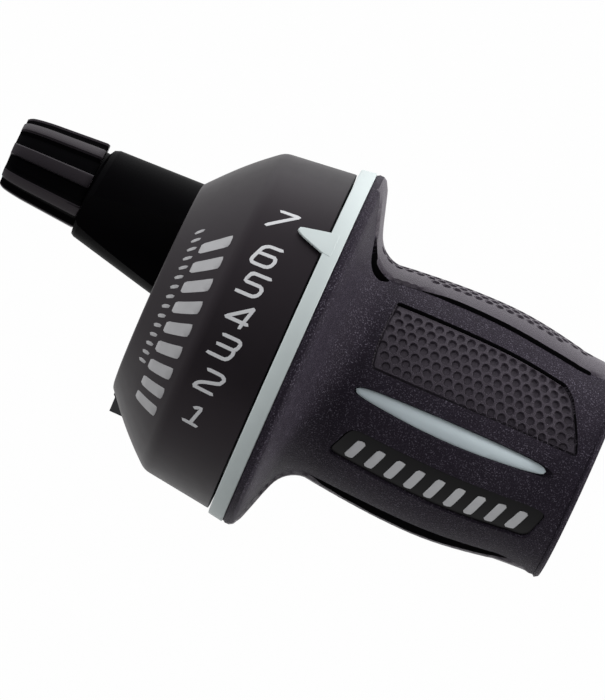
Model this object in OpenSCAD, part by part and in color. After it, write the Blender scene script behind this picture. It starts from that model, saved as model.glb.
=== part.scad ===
// Twist grip shifter for a flat handlebar, right hand, with seven indexed positions.
// X runs outboard along the bar, Y forward and Z up. The origin lies on the bar's axis, at the
// face where the indicator ring meets the flange of the grip.
// Each piece is drawn with the dial straight up, and leaned back toward the rider at the end.
// An angle about the bar is 0 at the middle of the dial and grows toward the rider.

/* [Handlebar] */
// Diameter of the handlebar
bar_d = 22.2; // [21.8:0.1:22.6]
// Gap between the bar and the bore, on the radius
bar_gap = 0.1; // [0.05:0.05:0.2]
// Angle that the dial leans back from straight up
dial_lean = 45; // [0:5:90]

/* [Bearing tube and collar] */
// Wall of the tube that the grip turns on
tube_wall = 1.4; // [1.2:0.1:1.8]
// Running gap between the tube and what turns on it, on the radius
turn_gap = 0.06; // [0.04:0.02:0.1]
// Wall of the clamp collar
collar_wall = 3; // [2.6:0.1:3.2]
// Width of the slot that lets the collar close on the bar
slot_w = 1.4; // [1:0.1:2]
// Angle of the clamp boss about the bar
boss_angle = 125; // [122:1:128]
// Distance from the bar's bore to the clamp bolt's axis
bolt_reach = 4.8; // [4.5:0.1:5.1]
// Half width of the clamp boss, across its slot
boss_half = 6; // [5.5:0.1:6.5]
// Height of the clamp boss over the chamfer of the drum
boss_proud = 1.1; // [0.6:0.1:1.4]

/* [Drum] */
// Wall of the drum, cover and housing alike
drum_wall = 1.8; // [1.6:0.1:2]
// Width of the dial band
dial_w = 10.2; // [10:0.1:11]
// Rise of the dial band's radius from its crease to its rim
dial_flare = 1.24; // [1:0.02:1.5]
// Width of the chamfer between the dial band and the inboard face
chamfer_w = 8.55; // [8:0.05:9]
// Bulge of the chamfer
chamfer_bulge = 0.45; // [0.3:0.05:0.6]
// Length along the bar over which the crease is rounded, on each side of it
crease_round = 1; // [0.5:0.1:1.2]
// Width of the rim round the collar on the inboard face
face_rim = 0.9; // [0.7:0.1:1.2]
// Distance that the outside of the drum is set toward the rider's side
drum_offset = 0.2; // [0.1:0.05:0.4]
// Thickness of the web that carries the tube
web_t = 1.7; // [1.4:0.1:2]
// Depth of the seam between cover and housing, below the bar's axis
seam_depth = 4; // [3:0.25:5]
// Width of that seam
seam_gap = 0.15; // [0.1:0.05:0.3]

/* [Cable spool] */
// Wall of the spool below its groove
spool_wall = 1.54; // [1.4:0.02:1.8]
// Depth of the cable groove
groove_depth = 1.7; // [1.4:0.1:2]
// Width of the cable groove
groove_w = 1.8; // [1.6:0.1:2]
// Thickness of the flange beside the groove
spool_flange_t = 0.8; // [0.6:0.1:1]
// Thickness of the detent wheel
wheel_t = 2.1; // [1.9:0.1:2.3]
// Height of the detent wheel over the flange beside the groove
wheel_rise = 4.1; // [3.8:0.1:4.4]
// Room for the detent spring between the wheel and the drum
spring_room = 2.06; // [1.9:0.02:2.4]
// Diameter of the shift cable
cable_d = 1.2; // [1.1:0.1:1.3]
// Number of indexed positions
gears = 7; // [6:1:7]
// Angle from one position to the next
gear_step = 12; // [10:1:12]
// Thickness of the washer between the web and the spool
washer_t = 0.8; // [0.6:0.1:1]

/* [Detent spring] */
// Thickness of the leaf
leaf_t = 0.5; // [0.4:0.05:0.6]
// Width of the leaf
leaf_w = 1.3; // [1.1:0.1:1.5]
// Half of the angle that the leaf spans
leaf_half_angle = 34; // [32:1:35]
// Radius of its nose
nose_r = 0.9; // [0.8:0.05:1]
// Depth that the nose reaches into a notch
nose_depth = 0.6; // [0.4:0.05:0.7]

/* [Cable guide] */
// Distance below the middle line of the bar at which the cable leaves the spool, as an angle
leave_angle = 26; // [25:0.5:27]
// Distance from the spool to the axis of the adjuster, along the cable
guide_reach = 10.4; // [10.2:0.1:10.8]
// Radius of the guide's bend
bend_r = 6; // [5.6:0.1:6.2]
// Wall of the guide
guide_wall = 0.7; // [0.6:0.1:0.8]
// Gap between the cable and the guide, on the radius
cable_gap = 0.3; // [0.2:0.05:0.35]

/* [Arm and adjuster] */
// Length of the arm from the drum's inboard face
arm_l = 14.8; // [13:0.1:16]
// Radius of the arm at its nose
arm_nose_r = 6.9; // [6.7:0.05:7.1]
// Radius of the arm at the drum
arm_root_r = 9.15; // [8.8:0.05:9.4]
// Tilt of the arm's outline against the adjuster
arm_tilt = 5; // [3:0.5:6]
// Gap between the arm and the bar, on the radius
bar_relief = 0.6; // [0.4:0.1:0.8]
// Length of the adjuster's knob
knob_l = 11.9; // [11:0.1:13]
// Radius of the knob beside the arm
knob_r = 6.45; // [6.2:0.05:6.6]
// Radius of the knob's tip
knob_tip_r = 5; // [4.8:0.1:5.3]
// Number of ribs round the knob
knob_ribs = 8; // [6:1:8]
// Depth of the flutes between the ribs
flute_depth = 0.7; // [0.5:0.05:0.9]
// Radius of the threaded stem
stem_r = 3; // [2.9:0.1:3.2]
// Length of the stem
stem_l = 7.6; // [7:0.1:8]
// Travel of the adjuster
adjust_travel = 4; // [3:0.5:4.5]
// Diameter of the cable casing's end
casing_d = 5; // [4.8:0.1:5.2]
// Depth of the socket for the casing
socket_l = 7; // [6.5:0.1:7.5]
// Thickness of the washer that the casing ends on
stop_t = 1; // [0.8:0.1:1.2]

/* [Grip] */
// Length of the grip from the indicator ring to its outboard end
grip_l = 41.8; // [41:0.1:46]
// Wall of the hard core
core_wall = 1.3; // [1.2:0.05:1.5]
// Thickness of the flange on the core
core_flange_t = 3.4; // [3.2:0.1:3.6]
// Rubber over the core at the waist
rubber_wall = 2.04; // [1.9:0.02:2.4]
// Rise of the belly over the waist
belly_rise = 1.1; // [0.9:0.02:1.4]
// Drop of the outboard end below the waist
end_drop = 0.7; // [0.4:0.05:0.7]
// Width of the cylindrical rim on the flange
flange_w = 1.8; // [1.4:0.1:2.2]
// Height of the finger pads over the faces between them
pad_rise = 0.35; // [0.2:0.05:0.5]
// Width of the grooves along the pads
groove_line_w = 0.6; // [0.4:0.05:0.8]
// Depth of the grooves along the pads
groove_line_depth = 0.6; // [0.4:0.05:0.7]
// Length of those grooves along the bar
groove_line_l = 29.4; // [28:0.1:30]
// Sway of those grooves across the pads
groove_sway = 1.4; // [1:0.1:1.6]
// Length of the recess where a pad's groove runs up the flange
corner_l = 4.3; // [3.8:0.1:4.6]
// Height of that recess
corner_h = 2.6; // [2.2:0.1:2.8]
// Depth of that recess
corner_depth = 1.1; // [0.8:0.05:1.2]
// Depth of the patterned panels
panel_depth = 0.3; // [0.2:0.05:0.4]

/* [Inlays] */
// Length of the lens inlay
lens_l = 27.6; // [26:0.1:29]
// Height of the lens inlay
lens_h = 2.5; // [2.2:0.1:2.8]
// Length of the label plate along its upper edge
label_l = 28.8; // [27:0.1:30]
// Height of the label plate
label_h = 5.9; // [5.4:0.1:6.2]
// Depth of the pockets that hold the inlays
inlay_depth = 1; // [0.9:0.05:1.1]
// Depth of the label plate's face below the rubber
label_sink = 0.35; // [0.25:0.05:0.4]
// Gap round an inlay
inlay_gap = 0.1; // [0.06:0.02:0.14]

/* [Indicator ring] */
// Width of the indicator ring
ring_w = 2.25; // [2:0.05:2.6]
// Gap between the indicator ring and the dial
ring_gap = 0.25; // [0.2:0.05:0.35]
// Height of the ring over the dial's rim
ring_rise = 1.1; // [1:0.05:1.3]
// Wall of the indicator ring
ring_wall = 2.65; // [2.4:0.05:2.8]
// Length of the pointer along the bar
pointer_l = 4.25; // [4:0.05:4.6]
// Width of the pointer at its root
pointer_w = 3.9; // [3.4:0.1:4.2]
// Thickness of the pointer
pointer_t = 0.6; // [0.5:0.05:0.8]
// Angle of the pointer at rest, on the highest number
pointer_angle = -34; // [-38:1:-32]

/* [Fasteners and end] */
// Thread diameter of the clamp bolt
bolt_d = 4; // [3.8:0.1:4.2]
// Thread diameter of the cover screw
screw_d = 2.2; // [2:0.1:2.4]
// Thickness of the washer at the outboard end
end_washer_t = 0.8; // [0.6:0.1:1]
// Height of that washer's edge over the end of the rubber
end_lip = 0.3; // [0.2:0.05:0.4]
// Width of the retaining clip along the bar
clip_w = 0.8; // [0.7:0.05:1]
// Depth of the clip's groove in the tube
clip_depth = 0.6; // [0.4:0.05:0.7]

/* [Hidden] */

// Fineness of round shapes, and how far a cut runs past what it cuts
$fn = 96;
overrun = 1;
far = 60;
// Gap where two pieces fit side by side
fit_gap = 0.05;

// Radii, from the bar outward
bore_r = bar_d / 2 + bar_gap;
tube_r = bore_r + tube_wall;
collar_r = bore_r + collar_wall;
spin_r = tube_r + turn_gap;
groove_r = spin_r + spool_wall;
spool_flange_r = groove_r + groove_depth;
wheel_r = spool_flange_r + wheel_rise;
cavity_r = wheel_r + spring_room;
crease_r = cavity_r + drum_wall;
rim_r = crease_r + dial_flare;
ring_r = rim_r + ring_rise;
collar_gap = 0.15;
face_r = collar_r + collar_gap + face_rim;
web_r = cavity_r - drum_offset;
cable_r = groove_r + cable_d / 2;
core_r = spin_r + core_wall;
waist_r = core_r + rubber_wall;
belly_r = waist_r + belly_rise;
end_r = waist_r - end_drop;
core_flange_r = ring_r - ring_wall;

// Places along the bar
rim_x = -ring_w - ring_gap;
crease_x = rim_x - dial_w;
face_x = crease_x - chamfer_w;
web_x = crease_x + web_t;
hub_gap = 0.1;
spool_x = web_x + washer_t + hub_gap;
hub_step = 0.5;
core_x = rim_x + hub_step;
wheel_x = core_x - wheel_t;
groove_x = wheel_x - groove_w;
spool_flange_x = groove_x - spool_flange_t;
core_end_x = grip_l - fit_gap;
tube_end_x = grip_l + end_washer_t + fit_gap;

// Axis of the adjuster, where the cable turns along the bar
arm_y = cable_r * cos(leave_angle) - guide_reach * sin(leave_angle);
arm_z = -cable_r * sin(leave_angle) - guide_reach * cos(leave_angle);
arm_x = face_x - arm_l;
cable_x = groove_x + groove_w / 2;
guide_in_r = cable_d / 2 + cable_gap;
guide_r = guide_in_r + guide_wall;

// A solid of revolution about the bar's axis, from points [radius, x]
module lathe(points) rotate([0, 90, 0]) rotate_extrude() polygon(points);

// A plain ring about the bar's axis
module tube(r_out, r_in, x0, x1) lathe([[r_in, x0], [r_out, x0], [r_out, x1], [r_in, x1]]);

// A round bar along X
module rod(r, x0, x1) translate([x0, 0, 0]) rotate([0, 90, 0]) cylinder(r = r, h = x1 - x0);

// Turns what is drawn at the middle of the dial to an angle about the bar
module at_angle(a) rotate([a, 0, 0]) children();

// Moves what is drawn on the bar's axis to the adjuster's axis
module on_arm() translate([0, arm_y, arm_z]) children();

// Leans the finished piece back on the bar
module placed() rotate([dial_lean, 0, 0]) children();

// A wedge about the bar between two angles
sector_step = 20;
module sector(a0, a1, x0, x1, r = far) {
    n = ceil((a1 - a0) / sector_step);
    rim = [for (i = [0:n]) let (a = a0 + (a1 - a0) * i / n) [-r * cos(a), -r * sin(a)]];
    translate([x0, 0, 0]) rotate([0, 90, 0]) linear_extrude(x1 - x0) polygon(concat([[0, 0]], rim));
}

// Everything on the dial's side of the seam, or on the other side
module dial_side(gap) translate([-far, -far, gap / 2 - seam_depth]) cube(2 * far);
module bar_side(gap) translate([-far, -far, -gap / 2 - seam_depth - 2 * far]) cube(2 * far);

// Chamfer of the drum, as a point [radius, x] at a share of its width
function chamfer_point(t) =
    [crease_r + (face_r - crease_r) * t + chamfer_bulge * sin(180 * t), crease_x - chamfer_w * t];

// Rounded crease, from the dial band to the chamfer
crease_steps = 4;
crease_share = crease_round / chamfer_w;
function crease_point(t) =
    (1 - t) * (1 - t) * [crease_r + dial_flare * crease_round / dial_w, crease_x + crease_round]
    + 2 * t * (1 - t) * [crease_r, crease_x] + t * t * chamfer_point(crease_share);

// Outside of the whole drum, from the rim over the crease to the inboard face
chamfer_steps = 7;
drum_line = concat([[rim_r, rim_x]], [for (i = [0:crease_steps]) crease_point(i / crease_steps)],
    [for (i = [1:chamfer_steps]) chamfer_point(crease_share + (1 - crease_share) * i / chamfer_steps)]);
module drum_outside(out = 0) translate([0, -drum_offset, 0])
    lathe(concat([[0, rim_x]], [for (p = drum_line) [p[0] + out, p[1]]], [[0, face_x]]));

// Room for the spool, between the web and the rim
module spool_room() lathe([[0, web_x], [cavity_r + dial_flare * web_t / dial_w, web_x],
    [rim_r - drum_wall, rim_x], [rim_r - drum_wall, rim_x + overrun], [0, rim_x + overrun]]);

// Room behind the web, round the collar
module collar_room() {
    mouth_r = collar_r + collar_gap;
    lathe([[0, face_x - overrun], [mouth_r, face_x - overrun], [mouth_r, face_x + drum_wall],
           [web_r, crease_x - drum_wall / 2], [web_r, web_x], [0, web_x]]);
}

// Screw boss that ties the cover to the housing
screw_inset = 5.66;
screw_y = crease_r - screw_inset;
screw_x = crease_x - 0.29 * chamfer_w;
boss_wall = 1.5;
boss_r = screw_d / 2 + boss_wall;
module screw_line(r, z0, z1) translate([screw_x, screw_y, z0]) cylinder(r = r, h = z1 - z0);

// Clamp boss
ear_face_inset = 0.35;
ear_crease_inset = 0.7;
boss_x0 = face_x + ear_face_inset;
boss_x1 = crease_x - ear_crease_inset;
bolt_x = (boss_x0 + boss_x1) / 2;
bolt_z = bore_r + bolt_reach;
bolt_head_r = 0.875 * bolt_d;
bolt_head_h = 0.55 * bolt_d;
nut_half = 0.875 * bolt_d;
nut_h = 0.8 * bolt_d;
ear = boss_half - slot_w / 2;
head_y = -slot_w / 2 - 0.45 * ear;
nut_y = slot_w / 2 + 0.2 * ear;
bolt_end_y = nut_y + nut_h + bolt_d / 4;
bolt_gap = 0.2;

// The clamp boss is drawn on the dial's line, with its slot in the plane of that line
module clamp_line(r, y0, y1) translate([bolt_x, y0, bolt_z]) rotate([-90, 0, 0]) cylinder(r = r, h = y1 - y0);

module clamp_ears() intersection() {
    at_angle(boss_angle) translate([boss_x0, -boss_half, bore_r + tube_wall])
        cube([boss_x1 - boss_x0, 2 * boss_half, far]);
    drum_outside(boss_proud);
}

// Arm that carries the adjuster: a tapered tube with a rounded nose, which runs out on the drum
nose_round = 1.1;
arm_foot_l = arm_l + 0.4 * chamfer_w;
arm_run_l = arm_l + 1.3 * chamfer_w;
module arm_body() intersection() {
    translate([arm_x, 0, 0]) on_arm() rotate([0, 0, -arm_tilt]) translate([0, -nose_round / 2, 0])
        lathe([[0, -overrun], [arm_nose_r - nose_round, -overrun], [arm_nose_r - nose_round, 0],
               [arm_nose_r - nose_round / 3, nose_round / 3], [arm_nose_r, nose_round],
               [arm_root_r, arm_foot_l], [0.5 * arm_root_r, arm_run_l], [0, arm_run_l]]);
    translate([arm_x, -far, -far]) cube([2 * far, 2 * far, 2 * far]);
}

// Adjuster thread
thread_gap = 0.05;
insert_wall = 1.1;
insert_lip = 0.7;
insert_r = stem_r + insert_wall;
insert_l = stem_l + adjust_travel / 4;
insert_flange_r = insert_r + insert_lip;
insert_flange_t = 0.8;

rest_half_angle = 4;
module housing_solid() {
    // Hull on the far side of the seam
    intersection() {
        difference() {
            drum_outside();
            spool_room();
            collar_room();
        }
        bar_side(seam_gap);
    }
    // What stands in the hull: arm, screw boss and clamp boss
    difference() {
        intersection() {
            union() {
                arm_body();
                intersection() {
                    screw_line(boss_r, -far, 0);
                    drum_outside();
                }
                clamp_ears();
            }
            bar_side(seam_gap);
        }
        // The arm clears the bar, and leaves the room of the spool free
        rod(bar_d / 2 + bar_relief, arm_x - overrun, face_x);
        spool_room();
    }
    // Web, collar and bearing tube
    tube(web_r - fit_gap * 2, bore_r, crease_x, web_x);
    tube(collar_r, bore_r, face_x, crease_x);
    tube(tube_r, bore_r, crease_x, tube_end_x);
    // Rests for the ends of the detent spring
    for (s = [-1, 1]) intersection() {
        difference() {
            at_angle(180 + s * leaf_half_angle)
                sector(-rest_half_angle, rest_half_angle, web_x - overrun / 2, rim_x);
            rod(leaf_out_r + fit_gap, web_x - overrun, rim_x + overrun);
        }
        drum_inside_wall();
        bar_side(seam_gap);
    }
}

module drum_inside_wall() translate([0, -drum_offset, 0])
    lathe([[0, rim_x], [rim_r - drum_wall / 2, rim_x], [crease_r - drum_wall / 2, crease_x], [0, crease_x]]);

// Slot, bolt hole, head recess and nut pocket of the clamp
module clamp_cuts() at_angle(boss_angle) {
    translate([face_x - overrun, -slot_w / 2, 0]) cube([boss_x1 - face_x + overrun, slot_w, far]);
    clamp_line(bolt_d / 2 + bolt_gap, -far, bolt_end_y + bolt_gap);
    clamp_line(bolt_head_r + bolt_gap, -far, head_y);
    translate([bolt_x - nut_half - fit_gap, nut_y, bolt_z - nut_half - fit_gap])
        cube([2 * (nut_half + fit_gap), nut_h + 2 * fit_gap, far]);
}

module clamp_housing() placed() color([0.09, 0.09, 0.10]) difference() {
    housing_solid();
    rod(bore_r, face_x - overrun, tube_end_x + overrun);
    clamp_cuts();
    // Cable guide and adjuster
    on_arm() {
        rod(guide_r + fit_gap, arm_x, web_x + overrun);
        rod(insert_r + fit_gap, arm_x - overrun, arm_x + insert_l);
        rod(insert_flange_r + fit_gap, arm_x - overrun, arm_x + insert_flange_t + fit_gap);
    }
    // Screw hole and its head recess
    screw_line(screw_d / 2 + fit_gap * 2, -far, 0);
    screw_line(screw_d + fit_gap * 2, -far, screw_head_z + fit_gap);
    // Groove of the retaining clip
    tube(tube_r + overrun, tube_r - clip_depth, clip_x - fit_gap, clip_x + clip_w + fit_gap);
}

module dial_cover() placed() color([0.27, 0.27, 0.29]) difference() {
    union() {
        difference() {
            intersection() {
                drum_outside();
                dial_side(seam_gap);
            }
            spool_room();
            collar_room();
        }
        intersection() {
            screw_line(boss_r, seam_gap / 2 - seam_depth, far);
            drum_outside(-drum_wall / 2);
            tube(far, 0, face_x, crease_x - fit_gap);
        }
    }
    screw_line(screw_d / 2, -far, screw_tip_z + fit_gap);
    clamp_cuts();
}

// Screw from the back of the housing into the cover
screw_l = 8;
screw_head_h = 0.6 * screw_d;
screw_tip_z = seam_gap / 2 - seam_depth + 0.6 * screw_l;
screw_head_z = screw_tip_z - screw_l;
module cover_screw() placed() color([0.75, 0.76, 0.78]) difference() {
    union() {
        screw_line(screw_d / 2 - fit_gap, screw_head_z - overrun / 4, screw_tip_z);
        screw_line(0.9 * screw_d, screw_head_z - screw_head_h, screw_head_z);
    }
    for (a = [0, 90]) translate([screw_x, screw_y, screw_head_z - screw_head_h]) rotate([0, 0, a])
        cube([1.2 * screw_d, 0.25 * screw_d, screw_head_h], center = true);
}

// Clamp bolt with a hexagon socket, its head away from the dial
module clamp_bolt() placed() color([0.2, 0.2, 0.21]) at_angle(boss_angle) difference() {
    union() {
        clamp_line(bolt_head_r, head_y - bolt_head_h, head_y);
        clamp_line(bolt_d / 2, head_y - overrun / 4, bolt_end_y);
    }
    translate([bolt_x, head_y - bolt_head_h - overrun, bolt_z]) rotate([-90, 0, 0])
        cylinder(d = 0.72 * bolt_d, h = 0.7 * bolt_head_h + overrun, $fn = 6);
}

module clamp_nut() placed() color([0.72, 0.73, 0.74]) at_angle(boss_angle) difference() {
    translate([bolt_x - nut_half, nut_y + fit_gap, bolt_z - nut_half])
        cube([2 * nut_half, nut_h, 2 * nut_half]);
    clamp_line(bolt_d / 2 + fit_gap, 0, far);
}

// Leaf spring whose nose rests in a notch of the wheel
nose_z = wheel_r - nose_depth + nose_r + fit_gap;
leaf_in_r = nose_z + nose_r - leaf_t;
leaf_out_r = leaf_in_r + leaf_t;
leaf_x = wheel_x + (wheel_t - leaf_w) / 2;
module detent_spring() placed() color([0.8, 0.81, 0.83]) at_angle(180) difference() {
    union() {
        intersection() {
            tube(leaf_out_r, leaf_in_r, leaf_x, leaf_x + leaf_w);
            sector(-leaf_half_angle, leaf_half_angle, leaf_x - overrun, leaf_x + leaf_w + overrun);
        }
        translate([0, 0, nose_z]) rod(nose_r, leaf_x, leaf_x + leaf_w);
    }
    translate([0, 0, nose_z]) rod(nose_r - leaf_t, leaf_x - overrun, leaf_x + leaf_w + overrun);
}

module thrust_washer() placed() color([0.86, 0.86, 0.82])
    tube(spool_flange_r - fit_gap, spin_r, web_x + fit_gap, web_x + fit_gap + washer_t);

// Guide that turns the cable from the spool into the arm
guide_turn = 35;
guide_end_x = arm_x + insert_l + overrun;
bend_x = cable_x - bend_r;
module guide_section(r_out, r_in) difference() {
    circle(r = r_out);
    circle(r = r_in);
}
module cable_guide() placed() color([0.9, 0.9, 0.88]) on_arm() {
    translate([guide_end_x, 0, 0]) rotate([0, 90, 0]) linear_extrude(bend_x - guide_end_x)
        guide_section(guide_r, guide_in_r);
    // The bend lies in the plane that holds the bar's direction and the cable's
    translate([bend_x, 0, 0]) rotate([-leave_angle, 0, 0]) translate([0, 0, bend_r])
        rotate([0, 90, -90]) rotate_extrude(angle = guide_turn) translate([bend_r, 0])
            guide_section(guide_r, guide_in_r);
}

module adjuster_insert() placed() color([0.78, 0.63, 0.3]) on_arm() difference() {
    union() {
        rod(insert_r, arm_x + fit_gap, arm_x + insert_l);
        rod(insert_flange_r, arm_x + fit_gap, arm_x + insert_flange_t);
    }
    rod(stem_r + thread_gap, arm_x - overrun, arm_x + insert_l + overrun);
}

// Adjuster: fluted knob, threaded stem and a socket for the casing
knob_gap = 0.2;
knob_x = arm_x - knob_gap;
tip_x = knob_x - knob_l;
casing_gap = 0.1;
socket_r = casing_d / 2 + casing_gap;
stop_r = 0.4 * casing_d;
stop_x = tip_x + socket_l;
module adjuster_barrel() placed() color([0.07, 0.07, 0.08]) on_arm() difference() {
    union() {
        lathe([[0, knob_x], [knob_r, knob_x], [0.95 * knob_r, knob_x - 0.35 * knob_l],
               [0.9 * knob_r, knob_x - 0.7 * knob_l], [0.86 * knob_r, knob_x - 0.87 * knob_l],
               [knob_tip_r, tip_x], [0, tip_x]]);
        rod(stem_r, knob_x - overrun, knob_x + stem_l);
    }
    for (i = [0:knob_ribs - 1]) rotate([(i + 0.5) * 360 / knob_ribs, 0, 0])
        translate([knob_x, 0, knob_r + flute_r - flute_depth]) rotate([0, -flute_slope, 0])
            rod(flute_r, -knob_l - 2 * overrun, overrun);
    rod(guide_in_r, tip_x - overrun, knob_x + stem_l + overrun);
    rod(socket_r, tip_x - overrun, stop_x);
    rod(stop_r + fit_gap, tip_x - overrun, stop_x + stop_t);
}
flute_r = 1.6;
flute_slope = atan((knob_r - knob_tip_r) / knob_l);

module casing_stop() placed() color([0.8, 0.81, 0.83]) on_arm() difference() {
    rod(stop_r, stop_x + fit_gap, stop_x + stop_t - fit_gap);
    rod(guide_in_r, stop_x, stop_x + stop_t);
}

// Spool with its groove, anchor pocket and detent wheel
anchor_angle = -75;
anchor_r = 1.9;
anchor_l = 5;
dog_half_angle = 9;
dog_l = 1;
dog_slack = 0.5;
module cable_spool() placed() color([0.16, 0.16, 0.17]) difference() {
    lathe([[spin_r, spool_x], [groove_r - groove_w / 8, spool_x], [groove_r - groove_w / 8, spool_flange_x],
           [spool_flange_r, spool_flange_x], [spool_flange_r, groove_x], [groove_r, groove_x],
           [groove_r, wheel_x], [wheel_r, wheel_x], [wheel_r, core_x], [spin_r, core_x]]);
    // One notch for each position, the first under the nose at rest
    for (i = [0:gears - 1]) at_angle(180 - i * gear_step) translate([0, 0, nose_z])
        rod(nose_r + fit_gap, wheel_x - overrun, core_x + overrun);
    // Pocket for the head of the cable
    at_angle(anchor_angle) translate([cable_x, 0, cable_r + cable_d / 2]) rotate([90, 0, 0])
        cylinder(r = anchor_r, h = anchor_l, center = true);
    // Slots for the dogs of the core
    for (a = [0, 120, 240]) at_angle(a) intersection() {
        sector(-dog_half_angle, dog_half_angle, core_x - dog_l - fit_gap, core_x + overrun);
        tube(groove_r + groove_depth, groove_r, core_x - dog_l - fit_gap, core_x + overrun);
    }
}

module grip_core() placed() color([0.12, 0.12, 0.13]) {
    lathe([[spin_r, core_x], [core_flange_r, core_x], [core_flange_r, core_x + core_flange_t],
           [core_r, core_x + core_flange_t], [core_r, core_end_x], [clip_room_r, core_end_x],
           [clip_room_r, clip_x - clip_room_gap], [spin_r, clip_x - clip_room_gap]]);
    for (a = [0, 120, 240]) at_angle(a) intersection() {
        sector(dog_slack - dog_half_angle, dog_half_angle - dog_slack, core_x - dog_l, core_x);
        tube(groove_r + groove_depth - fit_gap, groove_r + fit_gap, core_x - dog_l, core_x);
    }
}

// Clip in the tube's groove that holds the grip on, and the washer outside it
clip_room_gap = 0.3;
clip_x = grip_l - 2 * clip_w;
clip_proud = 0.5;
clip_room = 0.2;
clip_r = tube_r + clip_proud;
clip_room_r = clip_r + clip_room;
clip_open_angle = 25;
module retaining_clip() placed() color([0.74, 0.75, 0.77]) difference() {
    tube(clip_r, tube_r - clip_depth + fit_gap, clip_x, clip_x + clip_w);
    sector(-clip_open_angle, clip_open_angle, clip_x - overrun, clip_x + clip_w + overrun);
}

end_bevel = 0.3;
module end_washer() placed() color([0.1, 0.1, 0.11])
    lathe([[tube_r + fit_gap, grip_l + fit_gap], [end_r + end_lip - end_bevel, grip_l + fit_gap],
           [end_r + end_lip, grip_l + end_washer_t / 2], [end_r + end_lip - end_bevel, tube_end_x],
           [tube_r + fit_gap, tube_end_x]]);

// Outline of the grip, as points [radius, x] from the flange to the outboard end
flange_foot_x = 7.7;
flange_shares = [[0, 0.97], [0.07, 0.85], [0.19, 0.63], [0.305, 0.414], [0.42, 0.236],
                 [0.54, 0.135], [0.66, 0.075], [0.8, 0.03], [1, 0]];
belly_x = 0.56 * grip_l;
taper_x = 0.87 * grip_l;
taper_r = waist_r - 0.64 * end_drop;
belly_steps = 5;
rim_draft = 0.05;
end_round = 0.4;
function grip_line(out) = concat(
    [[ring_r, 0], [ring_r - rim_draft, 0.75 * flange_w]],
    [for (s = flange_shares)
        [waist_r + (ring_r - waist_r) * s[1] + out, flange_w + (flange_foot_x - flange_w) * s[0]]],
    [for (i = [1:belly_steps]) let (t = i / belly_steps)
        [waist_r + belly_rise * sin(90 * t) + out, flange_foot_x + (belly_x - flange_foot_x) * t]],
    [for (i = [1:belly_steps]) let (t = i / belly_steps)
        [belly_r - (belly_r - taper_r) * (1 - cos(90 * t)) + out, belly_x + (taper_x - belly_x) * t]],
    [[end_r + out, grip_l - end_round], [end_r - end_round + out, grip_l]]);

// Everything further out than the grip's surface moved in by a depth
module outside_grip(depth) difference() {
    tube(far, core_r, 0.75 * flange_w, grip_l + overrun);
    lathe(concat([[0, 0]], grip_line(-depth), [[0, grip_l]]));
}

// Outlines of the inlays and the panel, along the bar and across the dial's line
module lens_outline(gap) {
    r = (lens_l * lens_l / 4 + lens_h * lens_h / 4) / lens_h;
    translate([lens_x, 0]) intersection() {
        translate([0, lens_h / 2 - r]) circle(r = r + gap, $fn = 256);
        translate([0, r - lens_h / 2]) circle(r = r + gap, $fn = 256);
    }
}
lens_start = 9.4;
lens_x = lens_start + lens_l / 2;
lens_angle = 7;
lens_sink = 0.05;

label_x = 10.9;
label_angle = 36;
label_slant = 0.06;
module label_outline(gap) polygon([
    [label_x - gap, label_h * 0.47 + gap], [label_x + label_l + gap, label_h * 0.42 + gap],
    [label_x + label_l * (1 - label_slant * 0.7) + gap, -label_h * 0.58 - gap],
    [label_x + label_l * 0.6, -label_h * 0.56 - gap], [label_x + label_l * 0.3, -label_h * 0.54 - gap],
    [label_x - label_l * label_slant - gap, -label_h * 0.47 - gap]]);

panel_x = 9.3;
panel_l = 30.7;
panel_h = 10.8;
panel_angle = -24;
panel_shares = [[0, -0.36], [0.01, 0.4], [0.045, 0.49], [0.18, 0.47], [0.48, 0.42], [0.7, 0.35],
                [0.85, 0.31], [0.9, 0.15], [0.95, -0.05], [1, -0.42], [0.965, -0.48], [0.03, -0.48]];
module panel_outline() polygon([for (s = panel_shares) [panel_x + panel_l * s[0], panel_h * s[1]]]);

// The pattern of pads, panels and inlays comes twice round the grip
pad_start = 67;
pad_span = 58;
pad_line_inset = 3.5;

// Grooves at the two edges of a pad: share along, share of the sway across, share of the width
groove_line_x = 8.2;
low_groove_shares = [[0, -0.54, 0.3], [0.16, -0.26, 0.9], [0.37, 0.21, 1], [0.6, 0.5, 1],
                     [0.81, 0.34, 1], [1, -0.39, 0.8]];
high_groove_shares = [[0, 0.47, 0.3], [0.13, 0.43, 0.9], [0.3, 0.28, 1], [0.47, 0, 1],
                      [0.64, -0.28, 1], [0.81, -0.47, 1], [1, -0.5, 0.8]];
function groove_side(shares, side) = [for (s = shares)
    [groove_line_x + groove_line_l * s[0], groove_sway * s[1] + side * groove_line_w / 2 * s[2]]];
function reversed(points) = [for (i = [len(points) - 1:-1:0]) points[i]];
module groove_outline(shares)
    polygon(concat(groove_side(shares, 1), reversed(groove_side(shares, -1))));

// Recess at the inboard corner of a pad, a drop that lies in the hollow of the flange
corner_x = 3.3;
corner_angle = -54;
corner_shares = [[0, 0.43], [0.21, 0], [0.37, -0.3], [0.51, -0.45], [0.67, -0.42], [0.84, -0.24],
                 [1, 0.16], [0.98, 0.42], [0.74, 0.48], [0.4, 0.55], [0.16, 0.53]];
module corner_outline() polygon([for (s = corner_shares) [corner_x + corner_l * s[0], corner_h * s[1]]]);

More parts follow.
